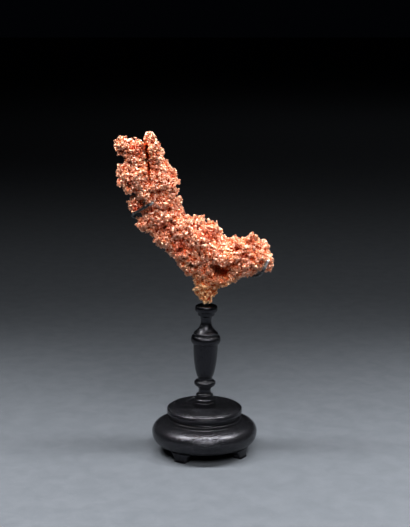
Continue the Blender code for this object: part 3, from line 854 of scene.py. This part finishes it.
def painted_cleft_shade(points):
    """1 in the depth of a natural cleft, where the copper is painted nearly black as painted shade, falling
    to 0 beside it.
    """
    height = points[:, 2]
    below = np.clip((CLEFT_SHADE_TOP - height) / CLEFT_SHADE_TOP_FADE, 0.0, 1.0)
    above = np.clip((height - CLEFT_SHADE_BOTTOM) / CLEFT_SHADE_BOTTOM_FADE, CLEFT_SHADE_LEAST, 1.0)
    away = cleft_distance(points) + CLEFT_SHADE_WAVER * waves(points, CLEFT_SHADE_WAVER_SIZE)
    return below * above * np.exp(-((away / CLEFT_SHADE_HALF_WIDTH) ** 2))


def paint_copper(mesh, relief, broad):
    """Keeps on the mesh what the copper's colour depends on, the painted shade in clefts and listed hollows
    among it.
    """
    points = points_of(mesh)
    # Painted shade: in the depth of a cleft the relief is taken down to nothing, so the copper there is
    # painted nearly black
    unshaded = 1.0 - painted_cleft_shade(points)
    paint(mesh, "relief", np.clip(0.5 + relief / RELIEF_RANGE, 0.0, 1.0) * unshaded)
    paint(mesh, "broad relief", np.clip(0.5 + broad / BROAD_RANGE, 0.0, 1.0) * unshaded)
    paint(mesh, "painted shade", nearness(points, PAINTED_SHADE_PLACES))
    paint(mesh, "gold", nearness(points, GOLDEN_PLACES))


def halves_of(mesh):
    """The same skin as two meshes, cut across between faces so that both have as many of them."""
    heights = points_of(mesh)[triangles_of(mesh)].mean(1)[:, 2]
    middle = np.median(heights)
    halves = []
    for name, unwanted in (("upper", heights < middle), ("lower", heights >= middle)):
        bm = bmesh.new()
        bm.from_mesh(mesh)
        other = [face for face, away in zip(bm.faces, unwanted) if away]
        bmesh.ops.delete(bm, geom=other, context="FACES")
        half = bpy.data.meshes.new(name)
        bm.to_mesh(half)
        bm.free()
        halves.append(half)
    return halves


def make_nugget(material, crystal_material):
    mass = copper_mass(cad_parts["nugget"].data)
    fine = relief_of(mass, RELIEF_PASSES)
    broad = relief_of(mass, BROAD_PASSES)
    paint_copper(mass, fine, broad)
    mass.shade_smooth()
    upper, lower = halves_of(mass)
    finish_piece(new_object("copper_mass_upper", upper), material, "copper", "nugget")
    finish_piece(new_object("copper_mass_lower", lower), material, "copper")
    rng = np.random.default_rng(CRUST_SEED + 1)
    for name, low, high in CRYSTAL_STRETCHES:
        mesh, lift = crystal_piece(name, mass, fine, rng, low, high)
        paint_copper(mesh, lift + CRYSTAL_LIFT, np.full(len(mesh.vertices), CRYSTAL_BROAD_LIFT))
        finish_piece(new_object(name, mesh), crystal_material, "copper")


# Turned wood: each function gives points (radius, height), from the top of a feature down


def bulge(top, bottom, end_radius, mid_radius, steps=14):
    points = []
    for step in range(steps + 1):
        angle = math.pi * step / steps
        radius = end_radius + (mid_radius - end_radius) * math.sin(angle)
        points.append((radius, (top + bottom) / 2 + (top - bottom) / 2 * math.cos(angle)))
    return points


def flare(top, bottom, top_radius, bottom_radius, power, steps=20):
    points = []
    for step in range(steps + 1):
        share = step / steps
        radius = top_radius + (bottom_radius - top_radius) * share**power
        points.append((radius, top + (bottom - top) * share))
    return points


def urn(top, bottom, top_radius, bottom_radius, power, steps=28):
    points = []
    for step in range(steps + 1):
        share = 1.0 - step / steps
        radius = bottom_radius + (top_radius - bottom_radius) * math.sin(math.pi / 2 * share**power)
        points.append((radius, bottom + (top - bottom) * share))
    return points


def quarter(start, end, steps=6, hollow=False):
    """A quarter of an ellipse between two points of the profile."""
    points = []
    for step in range(steps + 1):
        angle = math.pi / 2 * step / steps
        across, down = math.sin(angle), 1.0 - math.cos(angle)
        if hollow:
            across, down = down, across
        radius = start[0] + (end[0] - start[0]) * across
        points.append((radius, start[1] + (end[1] - start[1]) * down))
    return points


def lathe(name, profile, segments=LATHE_SEGMENTS):
    """A closed solid of revolution. The profile starts and ends on the axis."""
    rings = profile[1:-1]
    angles = [2 * math.pi * step / segments for step in range(segments)]
    points = [(0.0, 0.0, profile[0][1])]
    for radius, height in rings:
        points += [(radius * math.cos(angle), radius * math.sin(angle), height) for angle in angles]
    points.append((0.0, 0.0, profile[-1][1]))
    last = len(points) - 1
    faces = [(0, 1 + step, 1 + (step + 1) % segments) for step in range(segments)]
    for ring in range(len(rings) - 1):
        above = 1 + ring * segments
        below = above + segments
        for step in range(segments):
            following = (step + 1) % segments
            faces.append((above + step, below + step, below + following, above + following))
    above = 1 + (len(rings) - 1) * segments
    faces += [(last, above + (step + 1) % segments, above + step) for step in range(segments)]
    mesh = bpy.data.meshes.new(name)
    mesh.from_pydata(points, [], faces)
    mesh.shade_smooth()
    mesh.set_sharp_from_angle(angle=SHARP_ANGLE)
    return new_object(name, mesh)


def place_on_axis(obj, height=0.0, lean=0.0):
    obj.data.transform(Matrix.Translation(AXIS + Vector((0, 0, height))) @ Matrix.Rotation(lean, 4, "Y"))
    obj.data.update()
    return obj


def make_base(material):
    """The cushion-shaped ring, its two fillets, and the recess that the platform sits over."""
    shoulder = 0.0262
    belly = 0.0173
    shoulder_radius = 0.0328
    under = 0.0370
    profile = [(0.0, SEAT), (0.0279, SEAT)]
    profile += quarter((0.0281, SEAT), (0.0285, SEAT - 0.0004), 3)
    profile += quarter((0.0285, 0.0303), (0.0296, 0.0296), 5, hollow=True)
    profile += bulge(0.0295, 0.0276, 0.0300, 0.0307)
    profile += [(0.0300, 0.0274)]
    profile += bulge(0.0272, shoulder, 0.0315, 0.0322, 8)
    profile += [(0.0315, shoulder - 0.0002)]
    profile += quarter((shoulder_radius, shoulder), (BASE_RADIUS, belly), 26)
    profile += quarter((BASE_RADIUS, belly), (under, BASE_UNDERSIDE), 20, hollow=True)
    profile += [(0.0, BASE_UNDERSIDE)]
    base = place_on_axis(lathe("base_wood", profile))
    finish_piece(base, material, "ebonised_wood", "base_ring")


def make_platform(material):
    """The disc, with a lip and a bead turned round its rim and a fine line cut in its side."""
    top = PLATFORM_TOP
    side = PLATFORM_RADIUS
    lip = side - 0.0021
    profile = [(0.0, top), (lip - 0.0006, top)]
    profile += quarter((lip - 0.0004, top), (lip, top - 0.0004), 4)
    profile += quarter((lip, top - 0.0006), (lip + 0.0004, top - 0.0010), 3, hollow=True)
    profile += quarter((lip + 0.0007, top - 0.0009), (side, top - 0.0021), 10)
    profile += [(side, 0.0362), (side - 0.0004, 0.0359), (side - 0.0001, 0.0356)]
    profile += quarter((side, 0.0345), (side - 0.0020, PLATFORM_BOTTOM), 8, hollow=True)
    profile += [(0.0, PLATFORM_BOTTOM)]
    finish_piece(place_on_axis(lathe("platform_wood", profile)), material, "ebonised_wood", "platform")


def make_post(material):
    """Cup, flared neck, collar, urn, beads and foot, turned in one piece that leans a little."""
    profile = [(0.0, 0.0851), (0.0052, 0.0853), (0.0066, 0.0858)]
    profile += quarter((0.0070, 0.0862), (0.0079, 0.0860), 3)
    profile += bulge(0.0860, 0.0806, 0.0080, 0.0093, 18)
    profile += quarter((0.0079, 0.0805), (0.0071, 0.0800), 3)
    profile += [(0.0071, 0.0797), (0.0070, 0.0784)]
    profile += quarter((0.0070, 0.0783), (0.0060, 0.0774), 4, hollow=True)
    profile += flare(0.0768, 0.0735, 0.0052, 0.00436, 0.8, 6)
    profile += flare(0.0726, 0.0630, 0.00436, 0.0099, 2.2)
    profile += quarter((0.0100, 0.0628), (0.0102, 0.0618), 3)
    profile += [(0.0100, 0.0610)]
    profile += bulge(0.0607, 0.0534, 0.0102, 0.0123, 22)
    profile += [(0.0101, 0.0531)]
    profile += urn(0.0526, 0.0244, 0.01015, 0.0060, 0.72)
    profile += quarter((0.0059, 0.0240), (0.0061, 0.0226), 4, hollow=True)
    profile += bulge(0.0222, 0.0170, 0.0063, 0.0090, 18)
    profile += bulge(0.0164, 0.0104, 0.0063, 0.0051, 14)
    profile += bulge(0.0102, 0.0076, 0.0066, 0.0073, 10)
    profile += [(0.0066, 0.0071)]
    profile += bulge(0.0067, 0.0040, 0.0068, 0.0085, 12)
    profile += [(0.0077, 0.0037)]
    profile += quarter((0.0080, 0.0036), (0.0087, 0.0028), 5)
    profile += quarter((0.0087, 0.0006), (POST_FOOT_RADIUS, 0.0), 4, hollow=True)
    profile += [(0.0, 0.0)]
    post = lathe("post_wood", profile, POST_SEGMENTS)
    rise = PLATFORM_TOP + POST_GAP + POST_FOOT_RADIUS * math.sin(POST_LEAN)
    finish_piece(place_on_axis(post, rise, POST_LEAN), material, "ebonised_wood", "post")


def make_foot(index, material):
    """A bracket foot that follows the ring: wide above, drawn in below, with a toe and eased edges."""
    bm = bmesh.new()
    bmesh.ops.create_cube(bm, size=1.0)
    bmesh.ops.subdivide_edges(bm, edges=bm.edges, cuts=7, use_grid_fill=True)
    for vertex in bm.verts:
        across, side, up = vertex.co.x * 2, vertex.co.y * 2, vertex.co.z + 0.5
        width = FOOT_WIDTH + FOOT_FLARE * up**2.2
        depth = FOOT_DEPTH + FOOT_SWELL * up**1.5
        toe = FOOT_TOE * (1.0 - up) ** 5 if across > 0 else 0.0
        vertex.co.y = side * width / 2
        vertex.co.x = FOOT_MIDDLE + across * (depth / 2 + toe) - vertex.co.y**2 / (2 * FOOT_MIDDLE)
        vertex.co.z = up * FOOT_TOP
    mesh = bpy.data.meshes.new(f"foot_{index + 1}_wood")
    bm.to_mesh(mesh)
    bm.free()
    foot = new_object(f"foot_{index + 1}_wood", mesh)
    bevel = foot.modifiers.new("Bevel", "BEVEL")
    bevel.width = FOOT_EDGE
    bevel.segments = 3
    bevel.angle_limit = SHARP_ANGLE
    mesh = baked_mesh(foot)
    foot.modifiers.clear()
    foot.data = mesh
    turn = FIRST_FOOT_ANGLE + 2 * math.pi * index / FOOT_COUNT
    mesh.transform(Matrix.Translation(AXIS) @ Matrix.Rotation(turn, 4, "Z"))
    mesh.shade_smooth()
    mesh.set_sharp_from_angle(angle=SHARP_ANGLE)
    finish_piece(foot, material, "ebonised_wood", f"foot_{index + 1}")


# Steel


def make_steel(name, node, route, radius, rubbed_highlight_length, material):
    """A smooth rod along its route, rounded at its end, with its paint rubbed off near the tip, where the
    bare steel also stands as a painted highlight.
    """
    curve = bpy.data.curves.new(name, "CURVE")
    curve.dimensions = "3D"
    curve.resolution_u = 12
    curve.bevel_depth = radius
    curve.bevel_resolution = 5
    curve.use_fill_caps = True
    spline = curve.splines.new("BEZIER")
    spline.bezier_points.add(len(route) - 1)
    for point, place in zip(spline.bezier_points, route):
        point.co = Vector(place) + AXIS
        point.handle_left_type = "AUTO"
        point.handle_right_type = "AUTO"
    guide = new_object(name + "_guide", curve)
    mesh = baked_mesh(guide)
    bpy.data.objects.remove(guide)
    bm = bmesh.new()
    bm.from_mesh(mesh)
    bmesh.ops.remove_doubles(bm, verts=bm.verts, dist=0.00001)
    tip = Vector(route[-1]) + AXIS
    bmesh.ops.create_uvsphere(
        bm, u_segments=16, v_segments=10, radius=radius * TIP_SHARE, matrix=Matrix.Translation(tip))
    bm.to_mesh(mesh)
    bm.free()
    obj = new_object(name, fused(mesh, STEEL_VOXEL))
    add_smoothing(obj)
    obj.data = baked_mesh(obj)
    obj.modifiers.clear()
    obj.data.shade_smooth()
    away = np.linalg.norm(points_of(obj.data) - np.array(tip), axis=1)
    paint(obj.data, "rubbed highlight", np.clip(PAINT_EDGE - away / rubbed_highlight_length, 0.0, 1.0))
    finish_piece(obj, material, "blackened_steel", node)


# Materials


class Board:
    """A shader node tree, with short ways to add the nodes that these finishes use."""

    def __init__(self, tree):
        self.tree = tree

    def node(self, kind, inputs=None, **settings):
        node = self.tree.nodes.new("ShaderNode" + kind)
        for name, value in settings.items():
            setattr(node, name, value)
        for name, value in (inputs or {}).items():
            self.feed(node.inputs[name], value)
        return node

    def feed(self, socket, value):
        if isinstance(value, bpy.types.NodeSocket):
            self.tree.links.new(value, socket)
        else:
            socket.default_value = value

    def place(self):
        return self.node("TexCoord").outputs["Object"]

    def stretched(self, place, scale):
        return self.node("Mapping", {"Vector": place, "Scale": scale}).outputs["Vector"]

    def noise(self, place, scale, detail=4.0, roughness=0.55, distortion=0.0):
        inputs = {
            "Vector": place, "Scale": scale, "Detail": detail, "Roughness": roughness,
            "Distortion": distortion}
        return self.node("TexNoise", inputs).outputs["Fac"]

    def cells(self, place, scale):
        return self.node("TexVoronoi", {"Vector": place, "Scale": scale}).outputs["Distance"]

    def attribute(self, name):
        return self.node("Attribute", attribute_name=name).outputs["Fac"]

    def math(self, operation, first, second=0.0, clamp=False):
        node = self.node("Math", operation=operation, use_clamp=clamp)
        self.feed(node.inputs[0], first)
        self.feed(node.inputs[1], second)
        return node.outputs[0]

    def between(self, value, low, high, to_low=0.0, to_high=1.0):
        """value remapped so that low..high becomes to_low..to_high, with soft ends."""
        inputs = {"Value": value, "From Min": low, "From Max": high, "To Min": to_low, "To Max": to_high}
        return self.node("MapRange", inputs, interpolation_type="SMOOTHSTEP").outputs["Result"]

    def ramp(self, value, stops):
        node = self.node("ValToRGB", {"Fac": value})
        elements = node.color_ramp.elements
        while len(elements) < len(stops):
            elements.new(0.5)
        for element, (position, colour) in zip(elements, stops):
            element.position = position
            element.color = (*colour, 1.0)
        return node.outputs["Color"]

    def mix(self, share, first, second, blend="MIX"):
        node = self.node("Mix", data_type="RGBA", blend_type=blend)
        self.feed(node.inputs[0], share)
        self.feed(node.inputs[6], first)
        self.feed(node.inputs[7], second)
        return node.outputs[2]

    def bump(self, height, distance, strength=1.0):
        inputs = {"Height": height, "Distance": distance, "Strength": strength}
        return self.node("Bump", inputs).outputs["Normal"]

    def group(self, tree, **inputs):
        node = self.node("Group", node_tree=tree)
        for name, value in inputs.items():
            self.feed(node.inputs[name.replace("_", " ")], value)
        return node.outputs


def new_group(name, inputs, outputs):
    """A node group. Inputs are (name, value), where None stands for a place; outputs are (name, kind)."""
    tree = bpy.data.node_groups.new(name, "ShaderNodeTree")
    for label, value in inputs:
        kind = "Vector" if value is None else "Float"
        socket = tree.interface.new_socket(name=label, in_out="INPUT", socket_type="NodeSocket" + kind)
        if value is not None:
            socket.default_value = value
    for label, kind in outputs:
        tree.interface.new_socket(name=label, in_out="OUTPUT", socket_type="NodeSocket" + kind)
    given = tree.nodes.new("NodeGroupInput").outputs
    out = tree.nodes.new("NodeGroupOutput").inputs
    return tree, Board(tree), given, out


def new_material(name):
    material = bpy.data.materials.new(name)
    material.use_nodes = True
    return material, Board(material.node_tree), material.node_tree.nodes["Principled BSDF"].inputs


def edge_wear_group():
    """A mask of the corners that handling has rubbed, broken up by a noise."""
    tree, board, given, out = new_group(
        "Edge wear", [("Edge", 0.53), ("Width", 0.03), ("Patch size", 400.0)], [("Mask", "Float")])
    pointed = board.node("NewGeometry").outputs["Pointiness"]
    patches = board.noise(board.place(), given["Patch size"], 3.0, 0.6)
    uneven = board.math("MULTIPLY", board.math("SUBTRACT", patches, 0.5), 0.04)
    far = board.math("ADD", given["Edge"], given["Width"])
    board.feed(out["Mask"], board.between(board.math("ADD", pointed, uneven), given["Edge"], far))
    return tree


def dust_group():
    """A thin, patchy film with a few motes, on what faces up."""
    tree, board, given, out = new_group(
        "Settled dust", [("Amount", 0.3), ("Patch size", 90.0)], [("Mask", "Float")])
    facing = board.node("SeparateXYZ", {"Vector": board.node("NewGeometry").outputs["Normal"]}).outputs["Z"]
    film = board.between(board.noise(board.place(), given["Patch size"], 5.0, 0.6), 0.42, 0.68)
    motes = board.between(board.noise(board.place(), 3200.0, 1.0, 0.5), 0.62, 0.72)
    lying = board.math("MULTIPLY", board.between(facing, 0.55, 0.98), board.math("ADD", film, motes))
    board.feed(out["Mask"], board.math("MULTIPLY", lying, given["Amount"], clamp=True))
    return tree


def wood_grain_group():
    """Open pores as short dashes, and slow streaks, both along X of the place that is fed in."""
    tree, board, given, out = new_group(
        "Wood grain",
        [("Place", None), ("Pore size", 1900.0), ("Streak size", 300.0)],
        [("Height", "Float"), ("Streak", "Float")])
    dashes = board.stretched(given["Place"], (0.22, 1.0, 1.0))
    pores = board.between(board.cells(dashes, given["Pore size"]), 0.12, 0.42)
    fibre = board.noise(board.stretched(given["Place"], (0.05, 1.0, 1.0)), 2600.0, 2.0, 0.5)
    streak = board.noise(board.stretched(given["Place"], (0.06, 1.0, 1.0)), given["Streak size"], 4.0, 0.6)
    height = board.math("ADD", board.math("MULTIPLY", pores, 0.6), board.math("MULTIPLY", fibre, 0.4))
    board.feed(out["Height"], height)
    board.feed(out["Streak"], streak)
    return tree


def copper_skin_group():
    """Bare copper: dark red where it is sunk, partly oxide and partly painted shade, salmon on the skin and
    creamy, partly as painted highlight, on what stands out.
    """
    tree, board, given, out = new_group(
        "Copper skin",
        [("Relief", 0.5), ("Broad relief", 0.5), ("Redness", 0.0), ("Gold", 0.0), ("Mottle", 0.5)],
        [("Colour", "Color"), ("Roughness", "Float"), ("Height", "Float"), ("Share", "Float")])
    place = board.place()
    mottle = board.noise(place, 900.0, 5.0, 0.65)
    patches = board.noise(place, 130.0, 3.0, 0.6)
    grit = board.noise(place, 3000.0, 3.0, 0.6)
    share = board.math("MULTIPLY", given["Relief"], 0.55)
    share = board.math("ADD", share, board.math("MULTIPLY", given["Broad relief"], 0.45))
    uneven = board.math("MULTIPLY", board.math("SUBTRACT", mottle, 0.5), given["Mottle"])
    share = board.math("ADD", share, uneven)
    # The ramp paints the copper dark in hollows, partly oxide and partly painted shade, and creamy on
    # crests, partly painted highlight
    colour = board.ramp(share, COPPER_SHADES)
    # Painted shade: darker, redder copper at the listed places, with random redder patches multiplied in as
    # well
    redder_and_shaded = board.math("MULTIPLY", given["Redness"], 0.75)
    redder_and_shaded = board.math("ADD", redder_and_shaded, board.between(patches, 0.58, 0.75, 0.0, 0.4))
    colour = board.mix(board.math("MINIMUM", redder_and_shaded, 0.9), colour, REDDER_TONE_AND_SHADE, "MULTIPLY")
    golden = board.math("MULTIPLY", given["Gold"], 0.6)
    colour = board.mix(golden, colour, GOLDEN, "OVERLAY")
    board.feed(out["Share"], share)
    board.feed(out["Colour"], colour)
    board.feed(out["Roughness"], board.between(board.math("ADD", share, grit), 0.5, 1.3, 0.46, 0.29))
    board.feed(out["Height"], board.math("ADD", grit, board.math("MULTIPLY", mottle, 2.2)))
    return tree


def copper_material(name, skin, mottle, bump):
    """Copper whose colour follows what paint_copper keeps on the mesh."""
    material, board, shader = new_material(name)
    painted = {
        "Relief": board.attribute("relief"),
        "Broad_relief": board.attribute("broad relief"),
        "Redness": board.attribute("painted shade"),
        "Gold": board.attribute("gold"),
    }
    look = board.group(skin, Mottle=mottle, **painted)
    shader["Metallic"].default_value = 0.92
    shader["Specular Tint"].default_value = COPPER_GLINT
    board.feed(shader["Coat Weight"], board.between(look["Share"], 0.45, 0.85, 0.0, 0.32))
    shader["Coat Roughness"].default_value = 0.15
    board.feed(shader["Base Color"], look["Colour"])
    board.feed(shader["Roughness"], look["Roughness"])
    board.feed(shader["Normal"], board.bump(look["Height"], bump))
    return material


def ebonised_wood(name, grain, wear, dust, turn, streaks):
    """Black-stained, waxed wood. turn lays the grain along the piece's own length."""
    material, board, shader = new_material(name)
    place = board.node("Mapping", {"Vector": board.place(), "Rotation": turn}).outputs["Vector"]
    look = board.group(grain, Place=place)
    worn = board.group(wear, Edge=0.60, Width=0.06)["Mask"]
    dusty = board.group(dust, Amount=0.03)["Mask"]
    tone = board.between(look["Streak"], 0.35, 0.75)
    colour = board.mix(tone, STAINED_WOOD, streaks)
    colour = board.mix(board.math("MULTIPLY", worn, 0.15), colour, WORN_WOOD)
    colour = board.mix(dusty, colour, WOOD_DUST)
    board.feed(shader["Base Color"], colour)
    rough = board.between(look["Height"], 0.2, 0.9, 0.27, 0.18)
    board.feed(shader["Roughness"], board.math("ADD", rough, board.math("MULTIPLY", dusty, 0.3)))
    shader["Specular IOR Level"].default_value = 0.36
    shader["Specular Tint"].default_value = WOOD_GLINT
    shader["Coat Roughness"].default_value = 0.24
    board.feed(shader["Coat Weight"], board.between(look["Streak"], 0.2, 0.8, 0.10, 0.32))
    board.feed(shader["Normal"], board.bump(look["Height"], 0.00055, 0.9))
    return material


def blackened_steel(wear, dust):
    """Steel under brushed black paint, rubbed to grey where it was handled and near the tips, where the
    grey also stands as a painted highlight.
    """
    material, board, shader = new_material("blackened_steel")
    worn = board.group(wear, Edge=0.52, Width=0.06, Patch_size=900.0)["Mask"]
    dusty = board.group(dust, Amount=0.2, Patch_size=300.0)["Mask"]
    brush = board.noise(board.place(), 1800.0, 4.0, 0.6)
    # Near the tips the bare steel is partly handling wear and partly a painted highlight
    handled_and_highlit = board.math("ADD", brush, board.math("MULTIPLY", board.attribute("rubbed highlight"), 0.30))
    chips_and_highlight = board.math("MAXIMUM", board.math("MULTIPLY", worn, 0.6), board.between(handled_and_highlit, 0.62, 0.72))
    colour = board.mix(chips_and_highlight, STEEL_PAINT, BARE_STEEL)
    colour = board.mix(dusty, colour, STEEL_DUST)
    board.feed(shader["Base Color"], colour)
    board.feed(shader["Metallic"], board.math("MULTIPLY", chips_and_highlight, 0.9))
    board.feed(shader["Roughness"], board.between(brush, 0.3, 0.7, 0.24, 0.40))
    shader["Specular IOR Level"].default_value = 0.6
    shader["Coat Weight"].default_value = 0.2
    shader["Coat Roughness"].default_value = 0.15
    board.feed(shader["Normal"], board.bump(brush, 0.00010, 0.5))
    return material


def studio_floor():
    """Pale grey paper with a faint tooth."""
    material, board, shader = new_material("pale_paper")
    tooth = board.noise(board.place(), 900.0, 4.0, 0.6)
    blotches = board.noise(board.place(), 55.0, 5.0, 0.6, 0.4)
    shade = board.ramp(blotches, PAPER_SHADES)
    board.feed(shader["Base Color"], board.mix(board.between(tooth, 0.66, 0.76), shade, PAPER_FIBRES))
    shader["Roughness"].default_value = 0.85
    shader["Specular IOR Level"].default_value = 0.2
    board.feed(shader["Normal"], board.bump(tooth, 0.0002, 0.4))
    return material


# Studio


def make_floor():
    bm = bmesh.new()
    bmesh.ops.create_grid(bm, x_segments=8, y_segments=8, size=FLOOR_SIZE / 2)
    mesh = bpy.data.meshes.new("floor")
    bm.to_mesh(mesh)
    bm.free()
    floor = new_object("floor", mesh)
    mesh.materials.append(studio_floor())


def make_softbox(name, place, target, size, power, spread):
    lamp = bpy.data.lights.new(name, "AREA")
    lamp.shape = "RECTANGLE"
    lamp.size, lamp.size_y = size
    lamp.energy = power
    lamp.spread = math.radians(spread)
    softbox = new_object(name, lamp)
    softbox.location = AXIS + Vector(place)
    softbox.rotation_euler = (Vector(target) - Vector(place)).to_track_quat("-Z", "Y").to_euler()


def light_the_room():
    for softbox in SOFTBOXES:
        make_softbox(*softbox)
    world = bpy.data.worlds.new("dim_studio")
    bpy.context.scene.world = world
    world.use_nodes = True
    background = world.node_tree.nodes["Background"]
    background.inputs["Color"].default_value = WORLD_COLOUR
    background.inputs["Strength"].default_value = WORLD_STRENGTH
    bpy.context.scene.view_settings.view_transform = "Standard"


def place_camera():
    data = bpy.data.cameras.new("camera")
    data.sensor_fit = "VERTICAL"
    data.sensor_height = SENSOR_HEIGHT
    data.lens = CAMERA_LENS
    data.clip_end = CAMERA_REACH
    camera = new_object("camera", data)
    camera.location = AXIS + Vector((CAMERA_RIGHT, -CAMERA_BACK, CAMERA_HEIGHT))
    camera.rotation_euler = (math.radians(90.0) - CAMERA_PITCH, 0.0, 0.0)
    bpy.context.scene.camera = camera


def build():
    place_camera()
    skin = copper_skin_group()
    wear = edge_wear_group()
    dust = dust_group()
    grain = wood_grain_group()
    make_nugget(
        copper_material("native_copper", skin, 1.5, 0.00080),
        copper_material("copper_crystals", skin, 1.1, 0.00012))
    flat = (0, 0, 0)
    upright = (0, math.radians(90.0), 0)
    flat_grain = ebonised_wood("ebonised_disc", grain, wear, dust, flat, DISC_STREAKS)
    upright_grain = ebonised_wood("ebonised_spindle", grain, wear, dust, upright, SPINDLE_STREAKS)
    make_base(flat_grain)
    make_platform(flat_grain)
    make_post(upright_grain)
    for index in range(FOOT_COUNT):
        make_foot(index, flat_grain)
    steel = blackened_steel(wear, dust)
    for piece in STEEL_PIECES:
        make_steel(*piece, steel)
    make_floor()
    light_the_room()


build()
